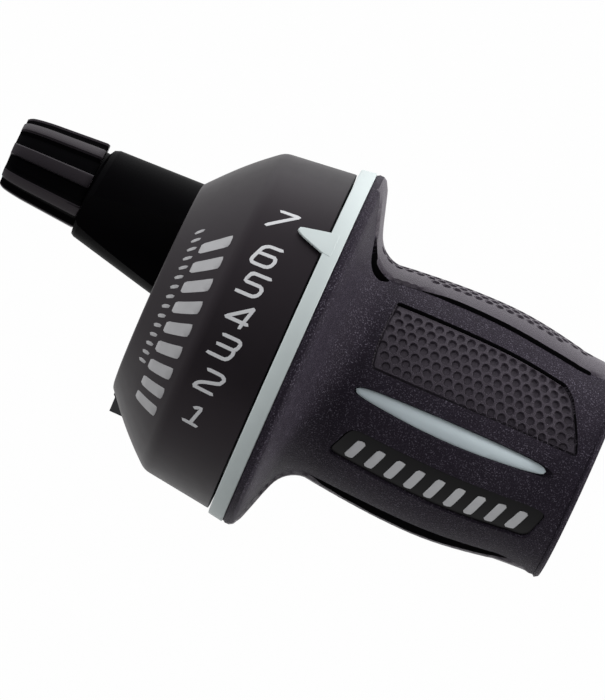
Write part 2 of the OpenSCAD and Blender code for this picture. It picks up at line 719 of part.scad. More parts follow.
module grip_cover() placed() color([0.13, 0.13, 0.14]) difference() {
    union() {
        lathe(concat([[core_flange_r + fit_gap, 0]], grip_line(-pad_rise),
                     [[core_r + fit_gap, grip_l], [core_r + fit_gap, core_x + core_flange_t],
                      [core_flange_r + fit_gap, core_x + core_flange_t]]));
        // Finger pads, one over the thumb and one under the fingers
        for (a = [0, 180]) intersection() {
            difference() {
                lathe(concat([[core_r + fit_gap, 0]], grip_line(0), [[core_r + fit_gap, grip_l]]));
                rod(core_r + overrun / 2, 0, grip_l);
            }
            sector(pad_start + a, pad_start + pad_span + a, flange_w + overrun, grip_l - overrun);
        }
    }
    for (turn = [0, 180]) at_angle(turn) {
        intersection() {
            outside_grip(pad_rise + groove_line_depth);
            union() {
                at_angle(pad_start + pad_line_inset) linear_extrude(far) groove_outline(low_groove_shares);
                at_angle(pad_start + pad_span - pad_line_inset)
                    linear_extrude(far) groove_outline(high_groove_shares);
            }
        }
        intersection() {
            outside_grip(pad_rise + corner_depth);
            at_angle(corner_angle) linear_extrude(far) corner_outline();
        }
        intersection() {
            outside_grip(pad_rise + panel_depth);
            at_angle(panel_angle) linear_extrude(far) panel_outline();
        }
        intersection() {
            outside_grip(pad_rise + inlay_depth);
            union() {
                at_angle(lens_angle) linear_extrude(far) lens_outline(inlay_gap);
                at_angle(label_angle) linear_extrude(far) label_outline(inlay_gap);
            }
        }
    }
}

// A plate that follows the grip's surface, between two depths
module curved_plate(top, bottom) intersection() {
    difference() {
        lathe(concat([[0, 0]], grip_line(-pad_rise - top), [[0, grip_l]]));
        lathe(concat([[0, 0]], grip_line(-pad_rise - bottom), [[0, grip_l]]));
    }
    children();
}

module lens(turn) placed() color([0.55, 0.57, 0.58]) at_angle(turn)
    curved_plate(lens_sink, inlay_depth - fit_gap) at_angle(lens_angle) linear_extrude(far) lens_outline(0);
module lens_front() lens(0);
module lens_back() lens(180);

module label(turn) placed() color([0.05, 0.05, 0.06]) at_angle(turn)
    curved_plate(label_sink, inlay_depth - fit_gap) at_angle(label_angle) linear_extrude(far) label_outline(0);
module label_front() label(0);
module label_back() label(180);

// Ring with the pointer that passes over the numbers
pointer_gap = 0.25;
pointer_clear = 0.7 * drum_offset + pointer_gap;
ring_bevel = 0.34;
pointer_shares = [[0, 0.5], [0.86, 0.12], [0.97, 0.06], [1, 0], [0.97, -0.06], [0.8, -0.14],
                  [0.45, -0.3], [0, -0.5]];
module indicator_ring() placed() color([0.62, 0.66, 0.65]) {
    lathe([[core_flange_r + fit_gap, -ring_w], [ring_r - ring_bevel, -ring_w], [ring_r, -fit_gap * 3],
           [ring_r, 0], [core_flange_r + fit_gap, 0]]);
    intersection() {
        lathe([[rim_r + pointer_clear, -ring_w + overrun], [rim_r + pointer_clear + pointer_t, -ring_w + overrun],
               [rim_r + pointer_clear + pointer_t, rim_x],
               [crease_r + dial_flare * 0.5 + pointer_clear + pointer_t, rim_x - dial_w / 2],
               [crease_r + dial_flare * 0.5 + pointer_clear, rim_x - dial_w / 2], [rim_r + pointer_clear, rim_x]]);
        at_angle(pointer_angle) linear_extrude(far)
            polygon([for (s = pointer_shares)
                [-ring_w + overrun / 4 - (pointer_l + overrun / 4) * s[0], pointer_w * s[1]]]);
    }
}

clamp_housing();
dial_cover();
cover_screw();
clamp_bolt();
clamp_nut();
detent_spring();
thrust_washer();
cable_guide();
adjuster_insert();
casing_stop();
adjuster_barrel();
cable_spool();
grip_core();
grip_cover();
indicator_ring();
lens_front();
lens_back();
label_front();
label_back();
retaining_clip();
end_washer();
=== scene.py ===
# %% [markdown]
# # A twist grip shifter for a handlebar
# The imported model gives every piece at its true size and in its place, so nothing is fitted here.
# What this script adds is how the shifter looks: the satin drum with its numbers, the pale ring
# with its pointer, the speckled rubber with its pads and panels, and the light on a white table.

# %% The frame
import math

import bmesh
import bpy
import numpy as np
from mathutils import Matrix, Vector
from mathutils.geometry import delaunay_2d_cdt


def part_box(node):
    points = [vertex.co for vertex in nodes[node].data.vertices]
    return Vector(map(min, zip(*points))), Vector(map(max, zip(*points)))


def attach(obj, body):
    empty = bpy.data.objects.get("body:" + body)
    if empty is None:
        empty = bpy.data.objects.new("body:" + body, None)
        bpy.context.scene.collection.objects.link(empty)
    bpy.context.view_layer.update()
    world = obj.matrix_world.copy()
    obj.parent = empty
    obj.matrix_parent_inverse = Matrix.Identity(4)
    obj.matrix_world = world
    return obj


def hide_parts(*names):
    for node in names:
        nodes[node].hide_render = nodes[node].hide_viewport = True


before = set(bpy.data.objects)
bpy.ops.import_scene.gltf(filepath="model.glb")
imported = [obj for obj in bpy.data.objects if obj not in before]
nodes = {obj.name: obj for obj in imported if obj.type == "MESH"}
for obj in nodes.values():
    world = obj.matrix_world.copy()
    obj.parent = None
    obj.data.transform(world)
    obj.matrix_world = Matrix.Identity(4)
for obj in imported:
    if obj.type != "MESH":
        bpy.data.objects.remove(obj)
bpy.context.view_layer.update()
print("pieces in the frame:", len(nodes))

# %% [markdown]
# ## Directions and measures
# The bar runs along X, and the dial leans back on it toward the rider. It is easiest to draw each
# shape as it would lie unrolled: a place along the bar in millimetres, an angle about the bar, and
# a distance from the axis. One function turns these three into a point of the scene. The radii come
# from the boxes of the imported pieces, so the looks follow the construction.

# %% Unrolled places
MM = 0.001
LEAN = math.radians(45)
DIAL_UP = Vector((0, math.cos(LEAN), math.sin(LEAN)))
DIAL_OUT = Vector((0, -math.sin(LEAN), math.cos(LEAN)))


def around(x, angle, radius):
    """Points about the bar, from arrays in millimetres and radians."""
    turn = np.asarray(angle, float) + LEAN
    x = np.broadcast_to(np.asarray(x, float), turn.shape)
    return np.stack([x, -radius * np.sin(turn), radius * np.cos(turn)], axis=-1) * MM


grip_low, grip_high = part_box("grip_cover")
core_low, core_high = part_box("grip_core")
RING_R = (grip_high.z - grip_low.z) / 2 / MM
GRIP_L = grip_high.x / MM
print("flange radius", round(RING_R, 2), "mm, grip length", round(GRIP_L, 2), "mm")

# %% [markdown]
# ## Outlines
# Panels, pockets and grooves start as outlines on the unrolled surface. Corners are rounded with
# small arcs, and a long thin shape is drawn as a ribbon along a middle line. Both give a closed
# list of points that is fine enough to follow the curve of the grip.


# %% Outline helpers
CORNER_SHARE = 0.48  # the most of a side that a corner's curve takes
CAP_STEPS = 6


def arc_corner(before, corner, after, radius, steps=5):
    """Replaces a corner by a short curve that starts and ends a radius away from it."""
    before, corner, after = (np.array(p, float) for p in (before, corner, after))
    way_in, way_out = before - corner, after - corner
    start = corner + way_in * min(radius / np.linalg.norm(way_in), CORNER_SHARE)
    end = corner + way_out * min(radius / np.linalg.norm(way_out), CORNER_SHARE)
    shares = np.linspace(0, 1, steps)[:, None]
    return (1 - shares) ** 2 * start + 2 * shares * (1 - shares) * corner + shares**2 * end


def rounded(points, radius, closed=True):
    """A polygon or path with its corners rounded."""
    n = len(points)
    pieces = []
    for i in range(n):
        if closed or 0 < i < n - 1:
            pieces.append(arc_corner(points[i - 1], points[i], points[(i + 1) % n], radius))
        else:
            pieces.append(np.array([points[i]], float))
    return np.concatenate(pieces)


def resampled(points, spacing, closed=True):
    """The same line with points at even distances."""
    points = np.asarray(points, float)
    line = np.concatenate([points, points[:1]]) if closed else points
    steps = np.linalg.norm(np.diff(line, axis=0), axis=1)
    run = np.concatenate([[0], np.cumsum(steps)])
    count = max(int(round(run[-1] / spacing)), 4)
    at = np.linspace(0, run[-1], count + 1)
    if closed:
        at = at[:-1]
    return np.stack([np.interp(at, run, line[:, 0]), np.interp(at, run, line[:, 1])], axis=1)


def side_normals(points, closed=True):
    """Unit vectors square to a line at each of its points, to the left of its run."""
    if closed:
        ahead, behind = np.roll(points, -1, axis=0), np.roll(points, 1, axis=0)
    else:
        ahead = np.concatenate([points[1:], points[-1:]])
        behind = np.concatenate([points[:1], points[:-1]])
    run = ahead - behind
    run /= np.maximum(np.linalg.norm(run, axis=1, keepdims=True), 1e-9)
    return np.stack([-run[:, 1], run[:, 0]], axis=1)


def turns_left(points):
    """True for a polygon that runs counterclockwise."""
    x, y = points[:, 0], points[:, 1]
    return np.sum(x * np.roll(y, -1) - y * np.roll(x, -1)) > 0


def inset(points, distance):
    """The polygon moved inward by a small distance."""
    side = 1 if turns_left(points) else -1
    return points + side_normals(points) * distance * side


def ribbon(path, half_width):
    """Outline of a stroke with round ends; half_width is a number, or one for each point."""
    path = np.asarray(path, float)
    half = np.broadcast_to(np.asarray(half_width, float), (len(path),))
    normal = side_normals(path, closed=False)
    left, right = path + normal * half[:, None], path - normal * half[:, None]

    def cap(centre, normal, reach, sign):
        forward = np.array([normal[1], -normal[0]]) * sign
        turn = np.linspace(0, math.pi, CAP_STEPS + 2)[1:-1, None]
        return centre + reach * (normal * sign * np.cos(turn) + forward * np.sin(turn))

    end_cap = cap(path[-1], normal[-1], half[-1], 1)
    start_cap = cap(path[0], normal[0], half[0], -1)
    return np.concatenate([left, end_cap, right[::-1], start_cap])


def depth_inside(points, polygon):
    """Distance from each point to the polygon's edge, positive inside it."""
    points = np.asarray(points, float)
    nearest = np.full(len(points), 1e9)
    inside = np.zeros(len(points), bool)
    for a, b in zip(polygon, np.roll(polygon, -1, axis=0)):
        edge = b - a
        length2 = max(float(edge @ edge), 1e-12)
        share = np.clip(((points - a) @ edge) / length2, 0, 1)
        gap = points - (a + share[:, None] * edge)
        nearest = np.minimum(nearest, np.einsum("ij,ij->i", gap, gap))
        crosses = (a[1] > points[:, 1]) != (b[1] > points[:, 1])
        if edge[1]:
            meet = a[0] + (points[:, 1] - a[1]) * edge[0] / edge[1]
            inside ^= crosses & (points[:, 0] < meet)
    return np.where(inside, 1, -1) * np.sqrt(nearest)


def soft_step(value):
    """0 below nought, 1 above one, and a smooth ramp between."""
    value = np.clip(value, 0, 1)
    return value * value * (3 - 2 * value)


# %% [markdown]
# ## From outlines to meshes
# A triangulation that keeps given lines as edges lets a pocket's rim stay a crisp line in the mesh,
# with no boolean and no smearing. The same call fills a plate, a numeral and the whole unrolled
# grip.


# %% Mesh helpers
def linked(name, data):
    """A new object in the scene from a mesh, a lamp or a camera."""
    thing = bpy.data.objects.new(name, data)
    bpy.context.scene.collection.objects.link(thing)
    return thing


def triangles_between(points, loops, only_inside=True):
    """Triangulates 2-D points with closed loops of indices as fixed edges."""
    edges = [(a, b) for loop in loops for a, b in zip(loop, loop[1:] + loop[:1])]
    kind = 1 if only_inside else 0
    flat = [Vector((float(p[0]), float(p[1]))) for p in points]
    found = delaunay_2d_cdt(flat, edges, [], kind, 1e-7)
    return np.array([tuple(v) for v in found[0]]), [tuple(f) for f in found[2]]


def new_piece(name, verts, faces, sharp_degrees=40):
    """A smooth-shaded object whose edges stay sharp where the surface turns by a given angle."""
    mesh = bpy.data.meshes.new(name)
    mesh.from_pydata([tuple(v) for v in verts], [], [tuple(f) for f in faces])
    work = bmesh.new()
    work.from_mesh(mesh)
    bmesh.ops.remove_doubles(work, verts=work.verts, dist=2e-6)
    bmesh.ops.dissolve_degenerate(work, edges=work.edges, dist=1e-7)
    bmesh.ops.recalc_face_normals(work, faces=work.faces)
    work.to_mesh(mesh)
    work.free()
    mesh.polygons.foreach_set("use_smooth", [True] * len(mesh.polygons))
    mesh.set_sharp_from_angle(angle=math.radians(sharp_degrees))
    return linked(name, mesh)


def quads(rows, count, closed=True, joined=True, start=0):
    """Faces between rows of points; joined ties the last point of a row to its first."""
    faces = []
    for i in range(rows if closed else rows - 1):
        here, there = start + i * count, start + (i + 1) % rows * count
        for k in range(count if joined else count - 1):
            m = (k + 1) % count
            faces.append((here + k, here + m, there + m, there + k))
    return faces


def walls(triangles, count):
    """Side faces between a top sheet and the same sheet below it, count indices on."""
    seen = set()
    for a, b, c in triangles:
        seen.update(((a, b), (b, c), (c, a)))
    return [(b, a, a + count, b + count) for a, b in seen if (b, a) not in seen]


def plate(name, outlines, surface, top, bottom, bevel=0.06, grid=0.7):
    """A thin closed plate, or several, that follow a surface between two depths."""
    verts, faces = [], []
    for outline in outlines:
        rim = resampled(outline, min(grid, 0.5))
        inner = inset(rim, bevel)
        low, high = rim.min(0), rim.max(0)
        xs, ys = np.arange(low[0], high[0], grid), np.arange(low[1], high[1], grid)
        field = np.array([(x, y) for x in xs for y in ys]).reshape(-1, 2)
        if len(field):
            field = field[depth_inside(field, rim) > bevel + 0.35 * grid]
        points = np.concatenate([rim, inner, field])
        n = len(rim)
        spots, tris = triangles_between(points, [list(range(n)), list(range(n, 2 * n))])
        near_rim = depth_inside(spots, rim)
        top_depth = (top(spots, near_rim) if callable(top) else top) + len(verts) * 1e-6
        top_depth = top_depth + bevel * (1 - np.clip(near_rim / bevel, 0, 1))
        upper = surface(spots, top_depth)
        lower = surface(spots, np.full(len(spots), bottom))
        start, count = len(verts), len(spots)
        verts += [*upper, *lower]
        sheet = [(a + start, b + start, c + start) for a, b, c in tris]
        faces += sheet + [(c + count, b + count, a + count) for a, b, c in sheet]
        faces += walls(sheet, count)
    return new_piece(name, verts, faces)


def turned(name, section, steps, sharp_degrees):
    """Turns a closed section of (x, radius) once round the bar."""
    section = np.asarray(section, float)
    verts, n = [], len(section)
    for i in range(steps):
        verts.extend(around(section[:, 0], np.full(n, i * 2 * math.pi / steps), section[:, 1]))
    return new_piece(name, verts, quads(steps, n), sharp_degrees)


# %% [markdown]
# ## Finishes
# Moulded plastic and rubber are never one flat colour. A shared node group gives a fine grain for
# the bump, a slow mottle for the colour and a little play in the gloss. Each material then sets its
# own values. A second group scatters the pale specks that the rubber shows: their colour, how many
# there are to a metre, and how strong they are.


# %% Shared node groups
def feed(tree, node, inputs):
    """Sets inputs of a node to numbers or colours, or links them to the sockets of other nodes."""
    for place, value in inputs.items():
        if isinstance(value, bpy.types.NodeSocket):
            tree.links.new(value, node.inputs[place])
        else:
            node.inputs[place].default_value = value
    return node


def new_node(tree, kind, inputs):
    """A new shader node of a kind, with its inputs set or linked."""
    return feed(tree, tree.nodes.new("ShaderNode" + kind), inputs)


def math_node(tree, operation, a, b, clamp=False):
    """The result of a maths node fed by sockets or numbers."""
    node = tree.nodes.new("ShaderNodeMath")
    node.operation = operation
    node.use_clamp = clamp
    return feed(tree, node, {0: a, 1: b}).outputs[0]


def noise_node(tree, coordinates, scale, detail):
    """A noise texture on object coordinates, its scale a socket or a number."""
    inputs = {"Detail": detail, "Scale": scale, "Vector": coordinates}
    return new_node(tree, "TexNoise", inputs).outputs["Fac"]


def mixed_colour(tree, blend, share, a, b):
    """Two colours mixed by a share, a socket or a number."""
    node = tree.nodes.new("ShaderNodeMix")
    node.data_type = "RGBA"
    node.blend_type = blend
    return feed(tree, node, {"Factor": share, "A": a, "B": b}).outputs["Result"]


def new_group(name, inputs, outputs):
    """An empty node group with its sockets, and the coordinates of the object that wears it."""
    group = bpy.data.node_groups.new(name, "ShaderNodeTree")
    for label, kind, value in inputs:
        socket = group.interface.new_socket(name=label, in_out="INPUT", socket_type=kind)
        socket.default_value = value
    for label, kind in outputs:
        group.interface.new_socket(name=label, in_out="OUTPUT", socket_type=kind)
    enter = group.nodes.new("NodeGroupInput").outputs
    leave = group.nodes.new("NodeGroupOutput")
    return group, enter, leave, group.nodes.new("ShaderNodeTexCoord").outputs["Object"]


COLOUR, NUMBER = "NodeSocketColor", "NodeSocketFloat"
MOTTLE_SCALE = 0.06  # size of the slow mottle against the grain
SPECK_FROM, SPECK_EDGE, PATCH_SCALE = 0.56, 7.0, 0.12


def make_moulded_group():
    """Grain, mottle and gloss play of a moulded surface."""
    group, enter, leave, place = new_group(
        "moulded_surface",
        [("Colour", COLOUR, (0.5, 0.5, 0.5, 1)), ("Grain per metre", NUMBER, 3000.0),
         ("Mottle", NUMBER, 0.2), ("Gloss play", NUMBER, 0.08), ("Roughness", NUMBER, 0.5)],
        [("Colour", COLOUR), ("Roughness", NUMBER), ("Height", NUMBER)])
    grain = noise_node(group, place, enter["Grain per metre"], 3.0)
    slow_scale = math_node(group, "MULTIPLY", enter["Grain per metre"], MOTTLE_SCALE)
    centred = math_node(group, "SUBTRACT", noise_node(group, place, slow_scale, 2.0), 0.5)
    shade = math_node(group, "MULTIPLY", centred, enter["Mottle"])
    factor = math_node(group, "ADD", shade, 1.0)
    grey = new_node(group, "CombineColor", {0: factor, 1: factor, 2: factor}).outputs[0]
    play = math_node(group, "MULTIPLY", centred, enter["Gloss play"])
    feed(group, leave, {
        "Colour": mixed_colour(group, "MULTIPLY", 1.0, enter["Colour"], grey),
        "Roughness": math_node(group, "ADD", play, enter["Roughness"], clamp=True),
        "Height": grain})
    return group


def make_speck_group():
    """Pale specks in rubber: small cells, only a few of which are lit."""
    group, enter, leave, place = new_group(
        "rubber_specks",
        [("Colour", COLOUR, (0.03, 0.03, 0.03, 1)), ("Speck colour", COLOUR, (0.2, 0.2, 0.22, 1)),
         ("Specks per metre", NUMBER, 3500.0), ("Amount", NUMBER, 0.5)],
        [("Colour", COLOUR), ("Mask", NUMBER)])
    fine = noise_node(group, place, enter["Specks per metre"], 2.0)
    above = math_node(group, "SUBTRACT", fine, SPECK_FROM)
    lit = math_node(group, "MULTIPLY", above, SPECK_EDGE, clamp=True)
    patch_scale = math_node(group, "MULTIPLY", enter["Specks per metre"], PATCH_SCALE)
    patchy = math_node(group, "MULTIPLY", lit, noise_node(group, place, patch_scale, 2.0))
    mask = math_node(group, "MULTIPLY", patchy, enter["Amount"], clamp=True)
    blend = mixed_colour(group, "MIX", mask, enter["Colour"], enter["Speck colour"])
    feed(group, leave, {"Colour": blend, "Mask": mask})
    return group


MOULDED = make_moulded_group()
SPECKS = make_speck_group()
print("shared groups:", MOULDED.name, "and", SPECKS.name)


# %% [markdown]
# One function then makes every finish. The plain numbers of a finish, such as the strength of its
# reflections, are set on the shader itself. Only what changes over the surface comes through the
# groups.


# %% Finish maker
GLOSS_PLAY, SHEEN_ROUGHNESS = 0.08, 0.35


def finish(name, colour, roughness, grain, bump, mottle=0.2, metallic=0.0, specular=0.5,
           cast=(1, 1, 1), sheen=0.0, specks=None):
    """A procedural material for plastic, rubber or metal; bump is a depth in millimetres."""
    material = bpy.data.materials.new(name)
    material.use_nodes = True
    tree = material.node_tree
    surface = tree.nodes.new("ShaderNodeGroup")
    surface.node_tree = MOULDED
    feed(tree, surface, {"Colour": (*colour, 1), "Grain per metre": grain, "Mottle": mottle,
                         "Gloss play": GLOSS_PLAY, "Roughness": roughness})
    colour_out = surface.outputs["Colour"]
    if specks:
        speck_colour, per_metre, amount = specks
        speck = tree.nodes.new("ShaderNodeGroup")
        speck.node_tree = SPECKS
        feed(tree, speck, {"Colour": colour_out, "Speck colour": (*speck_colour, 1),
                           "Specks per metre": per_metre, "Amount": amount})
        colour_out = speck.outputs["Colour"]
    relief = new_node(tree, "Bump", {"Strength": 1.0, "Distance": bump * MM,
                                     "Height": surface.outputs["Height"]})
    feed(tree, tree.nodes["Principled BSDF"], {
        "Base Color": colour_out, "Metallic": metallic, "Roughness": surface.outputs["Roughness"],
        "Specular IOR Level": specular, "Specular Tint": (*cast, 1), "Sheen Weight": sheen,
        "Sheen Roughness": SHEEN_ROUGHNESS, "Sheen Tint": (*cast, 1),
        "Normal": relief.outputs["Normal"]})
    return material


def dress(piece, *materials):
    """Gives a piece its materials; the first one is on all of its faces."""
    piece.data.materials.clear()
    for material in materials:
        piece.data.materials.append(material)
    return piece


# %% [markdown]
# ## The finishes by name
# The drum's cover is a satin charcoal with a warm cast, the arm and the adjuster are a blacker
# plastic with more gloss, and the rubber is matt with pale specks. The inner pieces, which show
# only in the gaps and from the ends, get plain metals and plastics.

# %% Materials
satin_charcoal = finish("satin_charcoal", (0.0072, 0.0056, 0.0070), 0.44, grain=9000, bump=0.006,
                        mottle=0.3, specular=0.2, cast=(1.0, 0.86, 0.95), sheen=0.012)
arm_black = finish("arm_black", (0.0012, 0.001, 0.0014), 0.42, grain=5000, bump=0.006, mottle=0.3,
                   specular=0.014)
barrel_black = finish("barrel_black", (0.0066, 0.0052, 0.0068), 0.34, grain=4000, bump=0.006,
                      mottle=0.3, specular=0.24, cast=(1.0, 0.88, 0.97), sheen=0.03)
speckled_rubber = finish(
    "speckled_rubber", (0.0172, 0.0136, 0.0204), 0.54, grain=5200, bump=0.16, mottle=0.5,
    specular=0.08, sheen=0.02, cast=(0.97, 0.84, 1.0), specks=((0.15, 0.135, 0.17), 5200.0, 1.25))
# The panel and pads get a smoother, sheenier rubber; its lighter colour is painted light for lit
# dimple rims and the top's grazing reflection.
dimpled_rubber_painted_light = finish(
    "dimpled_rubber_painted_light", (0.033, 0.0272, 0.0352), 0.44, grain=5200, bump=0.08, mottle=0.4,
    specular=0.22, sheen=0.19, cast=(1.0, 0.9, 1.0), specks=((0.1, 0.09, 0.11), 5000.0, 0.8))
# Painted shade: a near-black rubber for the grooves, the corner recess and the panel's wall, where
# shadow falls.
painted_recess_shade = finish("painted_recess_shade", (0.0022, 0.0018, 0.0026), 0.75, grain=5200, bump=0.05,
                      mottle=0.4, specular=0.08)
pale_ring = finish("pale_ring", (0.56, 0.615, 0.605), 0.5, grain=7000, bump=0.004, mottle=0.06,
                   specular=0.2)
lens_silver = finish("lens_silver", (0.55, 0.625, 0.65), 0.38, grain=8000, bump=0.003, mottle=0.08)
label_gloss = finish("label_gloss", (0.0022, 0.0016, 0.0024), 0.3, grain=6000, bump=0.003,
                     mottle=0.2, specular=0.14)
print_silver = finish("print_silver", (0.60, 0.60, 0.61), 0.5, grain=9000, bump=0.004, mottle=0.16)
mark_silver = finish("mark_silver", (0.35, 0.345, 0.35), 0.4, grain=9000, bump=0.004, mottle=0.2)
core_black = finish("core_black", (0.007, 0.007, 0.008), 0.45, grain=5000, bump=0.01, specular=0.3)
natural_nylon = finish("natural_nylon", (0.62, 0.6, 0.55), 0.5, grain=4000, bump=0.01, mottle=0.1)
bright_steel = finish("bright_steel", (0.6, 0.6, 0.61), 0.3, grain=9000, bump=0.004, metallic=1.0,
                      mottle=0.12)
black_oxide = finish("black_oxide", (0.03, 0.03, 0.032), 0.38, grain=9000, bump=0.006, metallic=0.9)
turned_brass = finish("turned_brass", (0.7, 0.5, 0.2), 0.3, grain=9000, bump=0.004, metallic=1.0,
                      mottle=0.15)

NODE_FINISH = {
    "clamp_housing": arm_black, "dial_cover": satin_charcoal, "cover_screw": bright_steel,
    "clamp_bolt": black_oxide, "clamp_nut": black_oxide, "detent_spring": bright_steel,
    "thrust_washer": natural_nylon, "cable_guide": natural_nylon, "adjuster_insert": turned_brass,
    "casing_stop": bright_steel, "adjuster_barrel": barrel_black, "cable_spool": core_black,
    "grip_core": core_black, "grip_cover": speckled_rubber, "indicator_ring": pale_ring,
    "lens_front": lens_silver, "lens_back": lens_silver, "label_front": label_gloss,
    "label_back": label_gloss, "retaining_clip": bright_steel, "end_washer": speckled_rubber,
}
for node_name, node_finish in NODE_FINISH.items():
    dress(nodes[node_name], node_finish)
print("finishes on the packed pieces:", len(NODE_FINISH))

# %% [markdown]
# ## The grip's surface
# The rubber cover is one moulding: a flared flange that runs down into a slim barrel, with a slight
# belly under the fingers. Its outline is a smooth curve through a few shares of the flange's
# height, then two sine arcs. The relief on it is a depth field over the unrolled surface.

# %% Outline of the grip
WAIST_R, BELLY_R, TAPER_R, END_R = 16.0, 17.1, 15.55, 15.3
FLANGE_W, FLANGE_FOOT = 1.8, 7.7
BELLY_X, TAPER_X = 0.56 * GRIP_L, 0.87 * GRIP_L
RIM_ROUND, END_ROUND, END_FLARE = 0.3, 0.15, 0.22
FLANGE_SHARES = [(0.0, 0.955), (0.07, 0.85), (0.19, 0.63), (0.305, 0.414), (0.42, 0.236),
                 (0.54, 0.135), (0.66, 0.075), (0.8, 0.03), (1.0, 0.0)]


def smooth_through(points, per_span=6):
    """A Catmull-Rom curve through given points."""
    points = np.asarray(points, float)
    padded = np.concatenate([2 * points[:1] - points[1:2], points, 2 * points[-1:] - points[-2:-1]])
    curve = []
    for i in range(1, len(padded) - 2):
        p0, p1, p2, p3 = padded[i - 1 : i + 3]
        for share in np.arange(per_span) / per_span:
            a = 2 * p1
            b = (p2 - p0) * share
            c = (2 * p0 - 5 * p1 + 4 * p2 - p3) * share**2
            d = (3 * p1 - p0 - 3 * p2 + p3) * share**3
            curve.append(0.5 * (a + b + c + d))
    return np.array(curve + [points[-1]])


def grip_profile():
    """Points (x, radius) of the full grip surface, from the ring to the outboard end."""
    rim = rounded([(0, RING_R - RIM_ROUND), (0, RING_R), (0.8 * FLANGE_W, RING_R - 0.03),
                   (FLANGE_W + 0.25, RING_R - 1.6)], RIM_ROUND * 1.5, closed=False)[:-1]
    flare = [(FLANGE_W + (FLANGE_FOOT - FLANGE_W) * s, WAIST_R + (RING_R - WAIST_R) * h)
             for s, h in FLANGE_SHARES[1:]]
    shares = np.linspace(0, 1, 12)[1:]
    rise = [(FLANGE_FOOT + (BELLY_X - FLANGE_FOOT) * t,
             WAIST_R + (BELLY_R - WAIST_R) * math.sin(t * math.pi / 2)) for t in shares]
    fall = [(BELLY_X + (TAPER_X - BELLY_X) * t,
             BELLY_R - (BELLY_R - TAPER_R) * (1 - math.cos(t * math.pi / 2))) for t in shares]
    edge_r = END_R + END_FLARE
    end = [(GRIP_L - 1.3, END_R - 0.02), (GRIP_L - 0.7, END_R + 0.04), (GRIP_L - END_ROUND, edge_r)]
    corner = rounded([(GRIP_L - END_ROUND, edge_r), (GRIP_L, edge_r),
                      (GRIP_L, edge_r - END_ROUND)], END_ROUND, closed=False)
    curve = smooth_through(flare + rise + fall + end)
    return np.concatenate([rim, curve, corner[1:]])


profile = resampled(grip_profile(), 0.12, closed=False)
profile_run = np.concatenate([[0], np.cumsum(np.linalg.norm(np.diff(profile, axis=0), axis=1))])
profile_out = side_normals(profile, closed=False)
print("grip outline:", len(profile), "points over", round(profile_run[-1], 1), "mm")


def run_at(x):
    """Distance along the outline at a place along the bar."""
    start = int(np.argmax(profile[:, 0] > 0.05))
    return np.interp(x, profile[start:, 0], profile_run[start:])


def bar_at(run):
    """Place along the bar at a distance along the outline."""
    return np.interp(run, profile_run, profile[:, 0])


def spread(angle_degrees):
    """Unrolled distance across the grip for an angle about the bar."""
    return np.radians(angle_degrees) * WAIST_R


def grip_surface(spots, depth):
    """Points of the grip from unrolled spots, moved in by a depth."""
    run, across = spots[:, 0], spots[:, 1]
    columns = np.hstack([profile, profile_out]).T
    x, radius, out_x, out_r = (np.interp(run, profile_run, column) for column in columns)
    size = np.maximum(np.hypot(out_x, out_r), 1e-6)
    return around(x - depth * out_x / size, across / WAIST_R, radius - depth * out_r / size)


def unrolled(points):
    """Turns a list of (place along the bar, angle in degrees) into unrolled spots."""
    points = np.asarray(points, float)
    return np.stack([run_at(points[:, 0]), spread(points[:, 1])], axis=1)


# %% [markdown]
# ## The relief of the rubber
# Seen from the front, one half turn of the grip holds a panel of dimples, a silver lens, a black
# label and the edges of two finger pads with their grooves. The other half turn repeats it. Each
# feature has an outline, a depth and the width of its wall, and its rings of points are kept in the
# triangulation. A pad is higher than the face beside it, and it carries small dimples too.

# %% Features of the grip
def smooth_loop(places, spacing):
    """A closed curve through places on the grip, as unrolled spots at even distances."""
    return resampled(smooth_through(unrolled(places + places[:1]))[:-1], spacing)


PAD_RISE, PANEL_DEPTH, LENS_DEPTH, LABEL_DEPTH = 0.35, 0.4, 0.75, 0.8
GROOVE_DEPTH, LOW_GROOVE_DEPTH, CORNER_DEPTH, WALL = 0.6, 0.95, 1.2, 0.14
SEAM_ANGLE = -84.0

panel_outline = rounded(unrolled([(9.9, -5.1), (9.4, -14.8), (9.3, -27.4), (9.6, -44.6),
                                  (16.6, -43.2), (23.2, -42.4), (29.9, -42.0), (35.2, -41.4),
                                  (36.7, -35.9), (38.2, -24.8), (39.5, -14.1), (40.2, -6.7),
                                  (30.5, -6.3), (24.0, -5.6), (17.0, -5.0)]), 0.6)

lens_outline = smooth_loop([
    (9.2, 7.0), (9.9, 5.5), (12.3, 4.4), (18.8, 3.5), (25.3, 3.1), (31.8, 3.3), (35.1, 3.9),
    (36.7, 4.9), (37.3, 6.6), (37.0, 8.5), (35.8, 9.7), (32.8, 10.9), (26.4, 12.2), (19.9, 12.3),
    (14.8, 11.4), (11.4, 10.4), (9.7, 9.3), (9.2, 8.0)], 0.4)
lens_pocket = smooth_loop([
    (9.0, 7.0), (9.7, 5.1), (12.3, 3.9), (18.8, 3.0), (25.3, 2.6), (31.8, 2.8), (35.3, 3.3),
    (37.5, 4.6), (38.5, 6.8), (38.3, 8.8), (36.6, 10.2), (32.8, 11.4), (26.4, 12.6), (19.9, 12.7),
    (14.8, 11.8), (11.4, 10.8), (9.5, 9.7), (8.95, 8.2)], 0.4)
label_pocket = rounded(unrolled([(10.75, 25.8), (40.0, 26.9), (38.6, 49.3), (24.0, 47.3),
                                 (8.85, 46.2)]), 1.5)
label_outline = inset(resampled(label_pocket, 0.4), 0.14)


def tapered(path, half_width, blunt_end):
    """Ribbon along a path that swells from a point to its full width."""
    path = resampled(smooth_through(unrolled(path)), 0.5, closed=False)
    share = np.linspace(0, 1, len(path))
    swell = 0.12 + 0.88 * soft_step(share / 0.3)
    blunt = 1 - (1 - blunt_end) * soft_step((share - 0.93) / 0.07)
    return ribbon(path, half_width * swell * blunt)


